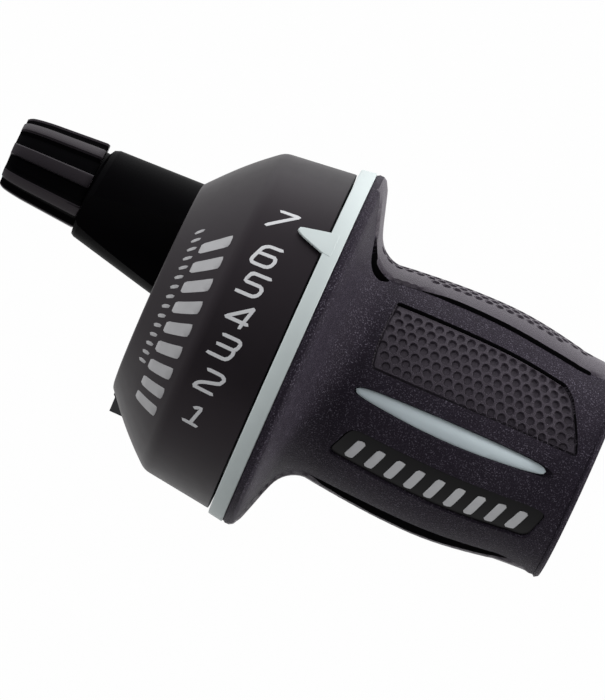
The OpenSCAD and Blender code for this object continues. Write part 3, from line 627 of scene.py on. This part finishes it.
upper_groove = tapered([(9.4, -58.7), (14, -58.9), (19, -58.1), (24, -57.0), (29, -56.3),
                        (33, -56.7), (37.5, -57.8)], 0.33, 0.85)
lower_groove = smooth_loop([
    (8.2, 76.6), (9.5, 75.0), (12, 73.2), (16, 71.2), (20, 70.2), (26, 69.9), (31, 71.0),
    (35, 73.0), (37.4, 75.2), (37.9, 76.6), (37.2, 77.9), (35, 79.2), (31, 80.7), (26, 82.0),
    (20, 82.2), (16, 81.6), (12, 80.2), (9.5, 78.4)], 0.45)
corner_recess = smooth_through(unrolled([(3.6, -63.0), (4.0, -58.5), (4.4, -54.8), (4.9, -52.9),
                                         (5.6, -52.0), (6.3, -52.5), (6.9, -54.2), (7.5, -57.0),
                                         (7.3, -58.6), (6.3, -59.2), (5.3, -60.4), (4.4, -62.6),
                                         (3.6, -63.0)]), 4)[:-1]
pad_top_edge = [(0.2, -65.5), (2.6, -63.5), (4.0, -62.0), (5.5, -60.2), (7.0, -59.2), (9.4, -58.9),
                (14, -59.1), (19, -58.3), (24, -57.2), (29, -56.5), (33, -56.9), (37.6, -58.0),
                (40.8, -58.6)]
pad_low_edge = [(0.2, 81.0), (2.6, 80.5), (6.0, 79.5), (9.5, 78.0), (12, 79.6), (16, 81.0),
                (20, 81.6), (26, 81.4), (31, 80.1), (35, 78.6), (37.8, 77.4), (40.8, 78.0)]
OVER = 20.0  # how far the pads' outlines run on past the seams, in degrees
upper_pad = unrolled(pad_top_edge + [(40.8, -84 - OVER), (0.2, -84 - OVER)])
lower_pad = unrolled(pad_low_edge + [(40.8, 96 + OVER), (0.2, 96 + OVER)])


def depth_in_pads(spots):
    """Distance inside the outlines of the two pads, negative between them."""
    return np.maximum(depth_inside(spots, upper_pad), depth_inside(spots, lower_pad))


FEATURES = {
    "panel": {"outline": panel_outline, "depth": PANEL_DEPTH, "wall": WALL, "crease": 0.22},
    "lens": {"outline": lens_pocket, "depth": LENS_DEPTH, "wall": 0.12},
    "label": {"outline": label_pocket, "depth": LABEL_DEPTH, "wall": 0.12},
    "upper_groove": {"outline": upper_groove, "depth": GROOVE_DEPTH, "wall": 0.16},
    "lower_groove": {"outline": lower_groove, "depth": LOW_GROOVE_DEPTH, "wall": 0.16},
    "corner": {"outline": corner_recess, "depth": CORNER_DEPTH, "wall": 0.3},
}
EDGE_SPACING = 0.3
for feature in FEATURES.values():
    feature["edge"] = resampled(feature["outline"], EDGE_SPACING)

# %% [markdown]
# The dimples lie in staggered rows, as a honeycomb. Along the panel's edge they are cut by its
# wall, as they are in the moulding, so the depth of a dimple fades out with the depth of the panel.

# %% Dimples
DIMPLE_R, DIMPLE_DEPTH, DIMPLE_WALL = 0.67, 0.38, 0.17
PITCH, ROW = 1.56, 1.36
LAST_ROW_ANGLE, PANEL_ROWS, PAD_ROWS = -6.4, 8, 6


def dimple_rows(outline, first_row, rows, margin):
    """Centres of dimples in staggered rows, kept where they lie inside an outline."""
    low, high = outline.min(0), outline.max(0)
    centres = np.array([(run, first_row + row * ROW) for row in range(rows)
                        for run in np.arange(low[0] + PITCH / 2 * (row % 2), high[0], PITCH)])
    return centres[depth_inside(centres, outline) > margin]


seam_low, seam_high = spread(SEAM_ANGLE), spread(SEAM_ANGLE + 180)
first_panel_row = spread(LAST_ROW_ANGLE) - (PANEL_ROWS - 1) * ROW - 0.66
panel_dimples = dimple_rows(resampled(panel_outline, 0.5), first_panel_row, PANEL_ROWS, 0.45)
pad_field_up = unrolled([(4.6, -72), (9, -72), (14, -68.5), (22, -64.5), (30, -66), (37.8, -75),
                         (37.8, -100), (4.6, -100)])
pad_field_low = unrolled([(9.5, 86), (14, 84.6), (22, 84.6), (30, 83.6), (37.8, 87), (37.8, 112),
                          (9.5, 112)])
upper_dimples = dimple_rows(pad_field_up, seam_low + ROW / 2, PAD_ROWS, DIMPLE_R)
first_low_row = seam_high - ROW / 2 - (PAD_ROWS - 1) * ROW
lower_dimples = dimple_rows(pad_field_low, first_low_row, PAD_ROWS, DIMPLE_R)
DIMPLES = np.concatenate([panel_dimples, upper_dimples, lower_dimples])
print("dimples in half a turn:", len(DIMPLES))


# %% [markdown]
# Now the depth at any spot is a sum: the pad's rise, each feature's wall and floor, and the
# dimples.

# %% Depth field
STEP_START, STEP_END, STEP_RAMP, END_RAMP = 1.2, 4.5, 1.6, 3.6
PAD_EDGE, CREASE_FROM, CREASE_FADE = 0.3, 1.2, 1.6


def relief_depth(spots):
    """Depth of the rubber below its full outline at unrolled spots."""
    x = bar_at(spots[:, 0])
    start = soft_step((x - STEP_START) / STEP_RAMP)
    pads = soft_step(depth_in_pads(spots) / PAD_EDGE)
    ending = 1 - soft_step((x - (GRIP_L - STEP_END)) / END_RAMP)
    base = PAD_RISE * start * ending * (1 - pads)
    sunk = np.zeros(len(spots))
    for feature in FEATURES.values():
        inside = depth_inside(spots, feature["edge"])
        share = inside / feature["wall"]
        floor = feature["depth"] * np.clip(share, 0, 1)
        if "crease" in feature:
            foot = np.clip(share, 0, 1) * (1 - soft_step((share - CREASE_FROM) / CREASE_FADE))
            floor = floor + feature["crease"] * foot
        sunk = np.maximum(sunk, floor)
    nearest = np.full(len(spots), 1e9)
    for centre in DIMPLES:
        nearest = np.minimum(nearest, np.hypot(*(spots - centre).T))
    hollow = DIMPLE_DEPTH * soft_step((DIMPLE_R - nearest) / DIMPLE_WALL)
    in_panel = np.clip(depth_inside(spots, panel_outline) / WALL, 0, 1)
    return base + sunk + hollow * np.maximum(in_panel, pads)


# %% [markdown]
# The mesh itself: a fine grid over the unrolled half turn, thinned where a feature brings its own
# points, then the rings of the features and dimples, all joined in one triangulation. The second
# half is the first one turned by 180 degrees. The bore and the two end faces close it to a real
# sleeve.

# %% Grip cover
GRID, HALF_TURN_STEPS, BORE_STEPS = 0.62, 90, 180
RING_SPACING, EDGE_POINTS, SEAM_ROOM, POINT_ROOM = 0.42, 0.3, 0.2, 0.22
CREASE_SHARE = CREASE_FROM + CREASE_FADE  # how far the crease reaches, in widths of the wall
SLEEVE_R, SEAT_X, CORE_GAP = 14.01, 1.0, 0.05


def wall_shares(feature):
    """Where a feature has rings of points, in widths of its wall."""
    return (0.0, 1.0, CREASE_SHARE) if "crease" in feature else (0.0, 1.0)


def ring_of(centre, radius, count):
    """Points on a small circle."""
    angle = np.arange(count) * 2 * math.pi / count
    return centre + radius * np.stack([np.cos(angle), np.sin(angle)], axis=1)


def grip_points():
    """Spots and closed loops of the unrolled half turn."""
    length = profile_run[-1]
    along = np.linspace(0, length, int(length / GRID) + 1)
    across = np.linspace(seam_low, seam_high, HALF_TURN_STEPS + 1)
    border = ([(run, seam_low) for run in along[:-1]] + [(length, s) for s in across[:-1]]
              + [(run, seam_high) for run in along[:0:-1]] + [(0.0, s) for s in across[:0:-1]])
    chunks, loops = [np.array(border)], [list(range(len(border)))]
    total = len(border)
    for feature in FEATURES.values():
        rim = resampled(feature["outline"], RING_SPACING)
        for share in wall_shares(feature):
            ring = inset(rim, feature["wall"] * share) if share else rim
            keep = (ring[:, 1] > seam_low) & (ring[:, 1] < seam_high)
            if keep.all():
                loops.append(list(range(total, total + len(ring))))
            ring = ring[keep]
            chunks.append(ring)
            total += len(ring)
    for centre in DIMPLES:
        for radius, count in ((DIMPLE_R, 12), (DIMPLE_R - DIMPLE_WALL, 10)):
            ring = ring_of(centre, radius, count)
            loops.append(list(range(total, total + count)))
            chunks.append(ring)
            total += count
        chunks.append(centre[None, :])
        total += 1
    # Close points along the pads' edges, where the finish changes
    edge_points = np.concatenate([resampled(unrolled(edge), EDGE_POINTS, closed=False)
                                  for edge in (pad_top_edge, pad_low_edge)])
    for feature in FEATURES.values():
        edge_points = edge_points[depth_inside(edge_points, feature["edge"]) < -SEAM_ROOM]
    edge_points = edge_points[(edge_points[:, 0] > 0.5) & (edge_points[:, 0] < length - 0.5)]
    chunks.append(edge_points)
    fixed = np.concatenate(chunks)
    step = across[1] - across[0]
    grid = np.array([(run, s) for i, run in enumerate(along[1:-1])
                     for s in across[:-1] + step * (0.5 if i % 2 else 0.0)])
    grid = grid[(grid[:, 1] > seam_low + SEAM_ROOM) & (grid[:, 1] < seam_high - SEAM_ROOM)]
    clear = np.ones(len(grid), bool)
    for feature in FEATURES.values():
        near = depth_inside(grid, feature["edge"])
        edge = feature["wall"] * wall_shares(feature)[-1]
        clear &= (near < -POINT_ROOM) | (near > edge + POINT_ROOM)
    for centre in DIMPLES:
        clear &= np.hypot(*(grid - centre).T) > DIMPLE_R + 0.14
    for spot in edge_points:
        clear &= np.hypot(*(grid - spot).T) > 0.24
    return np.concatenate([fixed, grid[clear]]), loops


def unrolled_again(points):
    """Unrolled spots of points in the scene, brought back into the half turn that was drawn."""
    x, y, z = (points / MM).T
    seam = math.radians(SEAM_ANGLE)
    angle = (np.arctan2(-y, z) - LEAN - seam) % math.pi + seam
    return np.stack([run_at(x), angle * WAIST_R], axis=1)


BORE_SKIN, DEEP_FROM = 0.29, 0.02
RIM_END, PLAIN_END = 0.9, 1.5  # the rim and the outboard end keep the plain rubber


def paint_light_and_shade_by_area(cover):
    """Paints shade into grooves, corner recess and panel wall; panel and pads get smoother rubber,
    lighter as painted light.
    """
    mesh = cover.data
    centres = np.zeros(3 * len(mesh.polygons))
    mesh.polygons.foreach_get("center", centres)
    centres = centres.reshape(-1, 3)
    spots = unrolled_again(centres)
    outside = np.hypot(centres[:, 1], centres[:, 2]) > (SLEEVE_R + BORE_SKIN) * MM
    painted_shade_faces = np.zeros(len(spots), bool)
    # Painted shade in the two grooves and the corner recess
    for name in ("upper_groove", "lower_groove", "corner"):
        painted_shade_faces |= depth_inside(spots, FEATURES[name]["edge"]) > DEEP_FROM
    panel_edge = depth_inside(spots, FEATURES["panel"]["edge"])
    # The panel's wall takes the painted shade as well
    painted_shade_faces |= (panel_edge > DEEP_FROM) & (panel_edge < WALL)
    # The panel and pads get the lighter rubber, whose extra lightness is painted light
    dimpled = (panel_edge > WALL) | (depth_in_pads(spots) > 0)
    dimpled &= (centres[:, 0] > RIM_END * MM) & (centres[:, 0] < (GRIP_L - PLAIN_END) * MM)
    index = np.where(painted_shade_faces, 1, np.where(dimpled, 2, 0)) * outside
    mesh.polygons.foreach_set("material_index", index.astype(int))


def make_grip_cover():
    """The rubber cover, closed on all sides."""
    points, loops = grip_points()
    spots, tris = triangles_between(points, loops, only_inside=False)
    outer = grip_surface(spots, relief_depth(spots))
    far_half = outer * np.array([1, -1, -1])
    count = len(outer)
    verts = [*outer, *far_half]
    faces = [tuple(t) for t in tris] + [tuple(i + count for i in t) for t in tris]
    # The bore, drawn from the inboard rim through the inside to the outboard rim
    core_r = (core_high.z - core_low.z) / 2 / MM + CORE_GAP
    inside = np.array([(0, RING_R - RIM_ROUND), (0, core_r), (SEAT_X, core_r), (SEAT_X, SLEEVE_R),
                       (GRIP_L, SLEEVE_R), (GRIP_L, END_R + END_FLARE - END_ROUND)])
    n = len(inside)
    faces += quads(BORE_STEPS, n, joined=False, start=len(verts))
    for i in range(BORE_STEPS):
        angle = math.radians(SEAM_ANGLE) + i * 2 * math.pi / BORE_STEPS
        verts.extend(around(inside[:, 0], np.full(n, angle), inside[:, 1]))
    return new_piece("rubber_grip_cover", verts, faces, sharp_degrees=32)


grip_cover = dress(make_grip_cover(), speckled_rubber, painted_recess_shade, dimpled_rubber_painted_light)
paint_light_and_shade_by_area(grip_cover)
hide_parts("grip_cover")
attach(grip_cover, "grip")
print("rubber cover:", len(grip_cover.data.polygons), "faces")

# %% [markdown]
# ## Inlays of the grip
# The silver lens has a low crown that leans, so that its upper side lies deeper than its lower
# side. The black label plate lies sunk in its pocket and carries a row of plain slanted dashes.

# %% Lens and label
LENS_TOP, LABEL_TOP = PAD_RISE + 0.02, PAD_RISE + 0.42
CROWN_EDGE, CROWN_RISE, CROWN_REACH, CROWN_LEAN = 0.36, 0.3, 1.3, 0.11
DASHES, FIRST_DASH, LAST_DASH, INLAY_LIFT = 9, 12.4, 36.4, 0.04


def crowned(spots, near_rim):
    """Depth of the lens's top: less toward its middle, and less toward its lower side."""
    middle = np.polyval(np.polyfit(spots[:, 0], spots[:, 1], 1), spots[:, 0])
    crown = CROWN_EDGE - CROWN_RISE * soft_step(near_rim / CROWN_REACH)
    return LENS_TOP + crown - CROWN_LEAN * (spots[:, 1] - middle)


def half_turned(spots):
    """The same outline on the far side of the grip."""
    return spots + np.array([0, math.pi * WAIST_R])


def make_inlays(side, move):
    """Lens, label plate and dashes on one side of the grip."""
    lens = plate("lens_inlay_" + side, [move(lens_outline)], grip_surface, crowned,
                 PAD_RISE + LENS_DEPTH - INLAY_LIFT)
    label = plate("label_plate_" + side, [move(label_outline)], grip_surface, LABEL_TOP,
                  PAD_RISE + LABEL_DEPTH - INLAY_LIFT, bevel=0.1)
    dashes = []
    for i in range(DASHES):
        x = FIRST_DASH + (LAST_DASH - FIRST_DASH) * i / (DASHES - 1)
        lift = 0.10 * (x - FIRST_DASH)
        low, high = 43.2 + lift, 31.0 + 0.45 * lift
        bar = np.array([(x - 1.15, low), (x + 0.15, low), (x + 1.25, high), (x - 0.05, high)])
        dashes.append(move(rounded(unrolled(bar), 0.35)))
    dash_piece = plate("label_dashes_" + side, dashes, grip_surface, LABEL_TOP - 0.14,
                       LABEL_TOP - 0.01, bevel=0.05, grid=0.9)
    return lens, label, dash_piece


for side, move in (("front", lambda p: p), ("back", half_turned)):
    lens, label, dash_piece = make_inlays(side, move)
    for piece, material, node, slot in ((lens, lens_silver, "lens_" + side, "lens_grey"),
                                        (label, label_gloss, "label_" + side, "label_black"),
                                        (dash_piece, print_silver, None, "lens_grey")):
        dress(piece, material)
        if node:
            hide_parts(node)
        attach(piece, "grip")
print("lenses, label plates and dashes are in")

# %% [markdown]
# ## The drum's cover
# The cover is a shell that meets the housing on a flat seam behind the bar. Its outside is a dial
# band that flares toward the ring, a rounded crease and a bulged chamfer down to the inboard face.
# A swept profile gives it, with each row of points ending on the plane of the seam.

# %% Drum outline
DRUM_SHIFT, BAND_W = 0.2, 10.2
cover_low, cover_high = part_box("dial_cover")
RIM_X, CREASE_X, FACE_X = cover_high.x / MM, cover_high.x / MM - BAND_W, cover_low.x / MM
RIM_R, CREASE_R, FACE_R, DRUM_WALL, BULGE = 25.1, 23.86, 15.25, 1.8, 0.45
COLLAR_R, SEAM_Z, DRUM_STEPS = 14.35, -3.925, 150


def drum_line():
    """Outside of the drum from the ring inboard, as (x, radius)."""
    chamfer = [(CREASE_X - (CREASE_X - FACE_X) * t,
                CREASE_R + (FACE_R - CREASE_R) * t + BULGE * math.sin(math.pi * t))
               for t in np.linspace(0, 1, 13)[1:]]
    crease = arc_corner((RIM_X, RIM_R), (CREASE_X, CREASE_R), chamfer[2], 0.9, 9)
    rim = arc_corner((RIM_X, RIM_R - 1), (RIM_X, RIM_R), (CREASE_X, CREASE_R), 0.22, 4)
    face = arc_corner(chamfer[-2], chamfer[-1], (FACE_X, FACE_R - 1.0), 0.4, 5)
    return np.concatenate([rim, crease, chamfer[1:-1], face])


drum_outline = drum_line()


def drum_radius(x):
    """Radius of the drum's outside at a place along the bar."""
    order = np.argsort(drum_outline[:, 0])
    return np.interp(x, drum_outline[order, 0], drum_outline[order, 1])


def drum_surface(spots, depth):
    """Points of the drum from (place along the bar, distance across it), moved in by a depth."""
    radius = drum_radius(spots[:, 0])
    slope = (drum_radius(spots[:, 0] + 0.05) - drum_radius(spots[:, 0] - 0.05)) / 0.1
    lean = np.arctan(slope)
    points = around(spots[:, 0] + depth * np.sin(lean), spots[:, 1] / CREASE_R,
                    radius - depth * np.cos(lean))
    return points - np.array(DIAL_UP) * DRUM_SHIFT * MM


def make_dial_cover():
    """The cover's shell between the seam's two edges."""
    inner = np.array([(FACE_X, COLLAR_R), (FACE_X + DRUM_WALL, COLLAR_R), (CREASE_X - 0.9, 20.16),
                      (CREASE_X + 0.6, 22.1), (RIM_X, RIM_R - DRUM_WALL)])
    section = np.concatenate([drum_outline, inner])
    reach = np.arccos(SEAM_Z / section[:, 1])
    rows = [around(section[:, 0], reach * (2 * i / DRUM_STEPS - 1), section[:, 1])
            for i in range(DRUM_STEPS + 1)]
    verts = np.concatenate(rows) - np.array(DIAL_UP) * DRUM_SHIFT * MM
    n = len(section)
    faces = quads(DRUM_STEPS + 1, n, closed=False)
    faces.append(tuple(range(n)))
    faces.append(tuple(reversed(range(DRUM_STEPS * n, (DRUM_STEPS + 1) * n))))
    return new_piece("satin_dial_cover", verts, faces, sharp_degrees=28)


dial_cover = dress(make_dial_cover(), satin_charcoal)
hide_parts("dial_cover")
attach(dial_cover, "housing")
print("dial cover:", len(dial_cover.data.polygons), "faces")

# %% [markdown]
# ## Numbers and marks on the drum
# The numbers are open strokes of one width with a slight slant. Each stroke is a ribbon along a
# short path in a unit box, so a numeral is a list of paths. They lie on the dial band as thin
# print. On the chamfer there is a generic row of slanted bars with a finer row of dashes beside it.

# %% Numerals
GLYPHS = {
    7: [[(0.12, 1), (1.0, 1)], [(1.0, 1), (0.0, 0)]],
    6: [[(0.95, 1), (0.3, 1), (0.1, 0.86), (0.0, 0.14), (0.1, 0.0), (0.82, 0.0), (0.98, 0.14),
         (1.0, 0.44), (0.88, 0.56)],
        [(0.88, 0.56), (0.08, 0.56)]],
    5: [[(1.0, 1), (0.1, 1), (0.04, 0.54), (0.86, 0.54), (1.0, 0.42), (0.98, 0.14), (0.82, 0.0),
         (0.0, 0.0)]],
    4: [[(0.84, 0.0), (0.86, 1.0)], [(0.86, 1.0), (0.0, 0.26)], [(0.0, 0.26), (1.06, 0.26)]],
    3: [[(0.05, 1), (0.88, 1), (1.0, 0.9), (0.98, 0.62), (0.9, 0.53), (0.08, 0.53)],
        [(0.9, 0.53), (0.99, 0.42), (0.95, 0.12), (0.82, 0.0), (-0.04, 0.0)]],
    2: [[(0.06, 1), (0.8, 1), (1.0, 0.88), (0.92, 0.6), (0.24, 0.36), (0.02, 0.2), (0.0, 0.0)],
        [(0.0, 0.0), (0.94, 0.0)]],
    1: [[(0.22, 0.86), (0.52, 1.0), (0.52, 0.0)], [(0.16, 0.0), (0.86, 0.0)]],
}
NUMERAL_ANGLES = {7: -36.5, 6: -22.2, 5: -11.8, 4: -1.1, 3: 9.8, 2: 22.1, 1: 35.3}
NUMERAL_W, NUMERAL_H, NUMERAL_SLANT, STROKE = 2.95, 3.0, 0.75, 0.245
NUMERAL_START, NUMERAL_RAISE, NUMERAL_ROUND = -10.7, -0.3, 0.27
PRINT_HEIGHT, PRINT_ROOT = 0.035, 0.03


def numeral_strokes(digit, angle):
    """Outlines of a numeral's strokes on the unrolled drum."""
    outlines = []
    for path in GLYPHS[digit]:
        points = []
        for right, up in path:
            x = NUMERAL_START + NUMERAL_W * right + NUMERAL_SLANT * up
            across = math.radians(angle) * CREASE_R + NUMERAL_RAISE - NUMERAL_H * (up - 0.5)
            points.append((x, across))
        if len(points) > 2:
            points = rounded(points, NUMERAL_ROUND, closed=False)
        outlines.append(ribbon(points, STROKE))
    return outlines


def printed(name, outlines, material):
    """Thin print on the drum."""
    piece = plate(name, outlines, drum_surface, -PRINT_HEIGHT, PRINT_ROOT, bevel=0.02, grid=0.8)
    dress(piece, material)
    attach(piece, "housing")


for digit, angle in NUMERAL_ANGLES.items():
    printed("numeral_%d" % digit, numeral_strokes(digit, angle), print_silver)
print("numerals:", len(NUMERAL_ANGLES))


# %% Bars on the chamfer
def chamfer_bars(count, first, last, low_x, high_x, width, slant):
    """A row of slanted bars about the drum, between two places along the bar."""
    outlines = []
    for i in range(count):
        middle = math.radians(first + (last - first) * i / (count - 1)) * CREASE_R
        bar = [(low_x, middle + slant - width / 2), (low_x, middle + slant + width / 2),
               (high_x, middle - slant + width / 2), (high_x, middle - slant - width / 2)]
        outlines.append(rounded(bar, 0.35))
    return outlines


printed("chamfer_bars", chamfer_bars(9, -22.5, 45.5, -17.5, -14.0, 2.0, 0.9), mark_silver)
printed("chamfer_dashes", chamfer_bars(15, -29, 33, -19.1, -17.95, 0.7, 0.35), mark_silver)

# %% [markdown]
# ## Indicator ring
# The ring is turned as one section with softened edges. Its pointer is a small tooth that lies just
# over the dial band, with a blunt tip.

# %% Ring and pointer
RING_W, RING_IN_R, RING_SIDE_R, RING_ROUND = 2.25, 23.6, 24.0, 0.22
ring_section = np.concatenate([
    arc_corner((-RING_W, RING_SIDE_R), (-RING_W, RING_R - 0.34), (0, RING_R), RING_ROUND, 4),
    arc_corner((-RING_W, RING_R - 0.3), (0, RING_R), (0, RING_SIDE_R), RING_ROUND, 4),
    [(0, RING_IN_R), (-RING_W, RING_IN_R)]])
ring = turned("pale_indicator_ring", ring_section, 220, sharp_degrees=30)


def pointer_surface(spots, depth):
    """The ring's own cone, carried on over the dial band."""
    radius = RING_R + 0.15 * spots[:, 0]
    return around(spots[:, 0], spots[:, 1] / RIM_R, radius - depth)


tooth = [(-1.0, -37.7), (-2.3, -37.5), (-6.25, -36.0), (-6.6, -35.3), (-6.4, -34.3), (-5.5, -32.9),
         (-3.8, -31.1), (-2.3, -29.6), (-1.0, -28.9)]
tooth = np.array([(x, math.radians(a) * RIM_R) for x, a in tooth])
pointer = plate("ring_pointer", [rounded(tooth, 0.25)], pointer_surface, -0.05, 0.34, bevel=0.07,
                grid=0.6)
for piece in (ring, pointer):
    dress(piece, pale_ring)
    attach(piece, "grip")
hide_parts("indicator_ring")
print("ring and pointer are in")

# %% [markdown]
# ## Barrel adjuster
# The knob tapers away from the arm and has broad flutes between narrow ribs. A grid of points about
# its own axis gives it, with the radius pushed in by a smooth flute and edges rounded by the
# profile.

# %% Adjuster
barrel_low, barrel_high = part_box("adjuster_barrel")
knob_axis = Vector((0, (barrel_low.y + barrel_high.y) / 2, (barrel_low.z + barrel_high.z) / 2))
KNOB_R, KNOB_TIP_R, KNOB_L, RIBS, FLUTE_DEPTH = 6.45, 5.1, 12.02, 8, 0.85
TIP_X = barrel_low.x / MM
KNOB_X = TIP_X + KNOB_L
SOCKET_R, SOCKET_L, WIRE_R, RIB_TURN = 2.6, 7.0, 0.9, math.radians(4.2)
STOP_R, STOP_L, STEM_R, STEM_L, KNOB_STEPS = 2.05, 1, 3.0, 7.6, 192
# Radius along the knob, from the arm to the tip, in shares of its length and of its full radius
KNOB_SHARES = [(0, 1 - 0.12 / KNOB_R), (0.03, 1), (0.35, 0.955), (0.7, 0.905), (0.87, 0.865),
               (0.96, 0.825), (1, (KNOB_TIP_R - 0.15) / KNOB_R)]


def knob_radius(x, angle):
    """Radius of the fluted knob."""
    share = np.clip((KNOB_X - x) / KNOB_L, 0, 1)
    full = KNOB_R * np.interp(share, *zip(*KNOB_SHARES))
    wave = 0.5 + 0.5 * np.cos((angle + RIB_TURN) * RIBS)
    flute = 1 - soft_step((wave - 0.36) / 0.4)
    return full - FLUTE_DEPTH * flute


def make_barrel():
    """The knob with its flutes and its socket."""
    xs = [KNOB_X, KNOB_X - 0.12, KNOB_X - 0.35, *np.linspace(KNOB_X - 0.9, TIP_X + 1.2, 14),
          TIP_X + 0.7, TIP_X + 0.3, TIP_X + 0.08, TIP_X]
    turn = np.arange(KNOB_STEPS) * 2 * math.pi / KNOB_STEPS
    bore = [(TIP_X, SOCKET_R + 0.25), (TIP_X + 0.25, SOCKET_R), (TIP_X + SOCKET_L, SOCKET_R),
            (TIP_X + SOCKET_L, STOP_R), (TIP_X + SOCKET_L + STOP_L, STOP_R),
            (TIP_X + SOCKET_L + STOP_L, WIRE_R), (KNOB_X + STEM_L, WIRE_R),
            (KNOB_X + STEM_L, STEM_R), (KNOB_X, STEM_R)]
    rows = [(x, knob_radius(x, turn)) for x in xs] + [(x, np.full(KNOB_STEPS, r)) for x, r in bore]
    verts = []
    for x, r in rows:
        verts.extend(np.stack([np.full(KNOB_STEPS, x * MM), knob_axis.y - r * np.sin(turn) * MM,
                               knob_axis.z + r * np.cos(turn) * MM], axis=1))
    return new_piece("fluted_barrel", verts, quads(len(rows), KNOB_STEPS), sharp_degrees=35)


def paint_flute_shade(knob):
    """Paints shade into the flutes: the faces that lie down in them get the blacker second
    material.
    """
    for face in knob.data.polygons:
        y, z = face.center.y - knob_axis.y, face.center.z - knob_axis.z
        x, angle = face.center.x / MM, math.atan2(-y, z)
        sunk = knob_radius(x, angle) < knob_radius(x, -RIB_TURN) - 0.3
        outside = math.hypot(y, z) / MM > SOCKET_R + 0.8
        face.material_index = int(sunk and outside and x < KNOB_X)


# The flutes take the blacker arm plastic as painted shade.
barrel = dress(make_barrel(), barrel_black, arm_black)
paint_flute_shade(barrel)
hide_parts("adjuster_barrel")
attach(barrel, "adjuster")
print("barrel:", len(barrel.data.polygons), "faces")

# %% [markdown]
# ## Table, light and camera
# The shifter is photographed from in front, square to its dial, on pure white. The floor lies well
# below it and looks white to the camera, but it still keeps a soft shadow. Large soft lamps stand
# above and to the right, and their level keeps a colour about as it is written.

# %% Floor and world
FLOOR_Z, FLOOR_HALF = -0.062, 3
FLOOR_PAINT, GLOW_SHARE = 0.32, 0.985
WHITE, COOL_WHITE = (1, 1, 1, 1), (0.97, 0.98, 1.0, 1)
corners = [(-1, -1), (1, -1), (1, 1), (-1, 1)]
floor_mesh = bpy.data.meshes.new("white_table")
floor_mesh.from_pydata([(x * FLOOR_HALF, y * FLOOR_HALF, FLOOR_Z) for x, y in corners], [],
                       [(0, 1, 2, 3)])
floor = linked("white_table", floor_mesh)


def make_table_white():
    """White to the camera and in reflections, with part of its real shading kept for the shadow."""
    material = bpy.data.materials.new("table_white")
    material.use_nodes = True
    tree = material.node_tree
    tree.nodes.clear()
    paint = new_node(tree, "BsdfDiffuse", {"Color": (FLOOR_PAINT, FLOOR_PAINT, FLOOR_PAINT, 1)})
    glow = new_node(tree, "Emission", {"Color": WHITE, "Strength": 1.0})
    path = tree.nodes.new("ShaderNodeLightPath")
    seen = math_node(tree, "MAXIMUM", path.outputs["Is Camera Ray"], path.outputs["Is Glossy Ray"])
    seen = math_node(tree, "MAXIMUM", seen, path.outputs["Is Transmission Ray"])
    share = math_node(tree, "MULTIPLY", seen, GLOW_SHARE)
    mix = new_node(tree, "MixShader", {0: share, 1: paint.outputs[0], 2: glow.outputs[0]})
    new_node(tree, "OutputMaterial", {"Surface": mix.outputs[0]})
    return material


floor_mesh.materials.append(make_table_white())

TENT_LEVEL, TENT_SLOPE = 0.86, 0.9
TENT_TOWARD = DIAL_UP * 0.86 - DIAL_OUT * 0.42 - Vector((0.66, 0, 0))
world = bpy.data.worlds.new("studio")
bpy.context.scene.world = world
world.use_nodes = True
tree = world.node_tree
tree.nodes.clear()
brightest = tree.nodes.new("ShaderNodeVectorMath")
brightest.operation = "DOT_PRODUCT"
toward = tree.nodes.new("ShaderNodeTexCoord").outputs["Generated"]
feed(tree, brightest, {0: toward, 1: TENT_TOWARD})
slope = math_node(tree, "MULTIPLY", brightest.outputs["Value"], TENT_SLOPE)
level = math_node(tree, "ADD", slope, TENT_LEVEL)
soft = new_node(tree, "Background", {"Color": COOL_WHITE, "Strength": level})
white = new_node(tree, "Background", {"Color": WHITE, "Strength": 1.0})
seen = tree.nodes.new("ShaderNodeLightPath").outputs["Is Camera Ray"]
sky_mix = new_node(tree, "MixShader", {0: seen, 1: soft.outputs[0], 2: white.outputs[0]})
new_node(tree, "OutputWorld", {"Surface": sky_mix.outputs[0]})


# %% Lamps
def soft_lamp(name, place, size, power):
    """A square lamp that faces the middle of the shifter; place is (along, dial up, dial out)."""
    light = bpy.data.lights.new(name, "AREA")
    light.shape = "SQUARE"
    light.size = size
    light.energy = power
    lamp = linked(name, light)
    along, up, out = place
    lamp.location = Vector((along, 0, 0)) + DIAL_UP * up + DIAL_OUT * out
    lamp.rotation_euler = (-lamp.location).to_track_quat("-Z", "Y").to_euler()


soft_lamp("lamp_above", (-0.2, 0.9, -0.25), 0.6, 0.8)
soft_lamp("lamp_right", (0.95, 0.32, 0.1), 0.2, 8)

# %% Camera
FOCAL_MM, SENSOR_MM, ROLL = 262.4, 36, math.radians(24.15)
EYE_X, AIM_X, EYE_UP, EYE_OUT = 6.0 * MM, 0.46 * MM, -0.14 * MM, 702 * MM
camera_data = bpy.data.cameras.new("portrait")
camera_data.lens = FOCAL_MM
camera_data.sensor_width = SENSOR_MM
camera_data.clip_end = 20
camera = linked("portrait", camera_data)
eye = Vector((EYE_X, 0, 0)) + DIAL_UP * EYE_UP + DIAL_OUT * EYE_OUT
aim = Vector((AIM_X, 0, 0)) + DIAL_UP * EYE_UP
back = (eye - aim).normalized()
up_hint = Vector((-math.sin(ROLL), 0, 0)) + DIAL_UP * math.cos(ROLL)
right = up_hint.cross(back).normalized()
up = back.cross(right)
matrix = camera.matrix_world.copy()
for row in range(3):
    for column, vector in enumerate((right, up, back, eye)):
        matrix[row][column] = vector[row]
camera.matrix_world = matrix
bpy.context.scene.camera = camera
bpy.context.scene.view_settings.view_transform = "Standard"
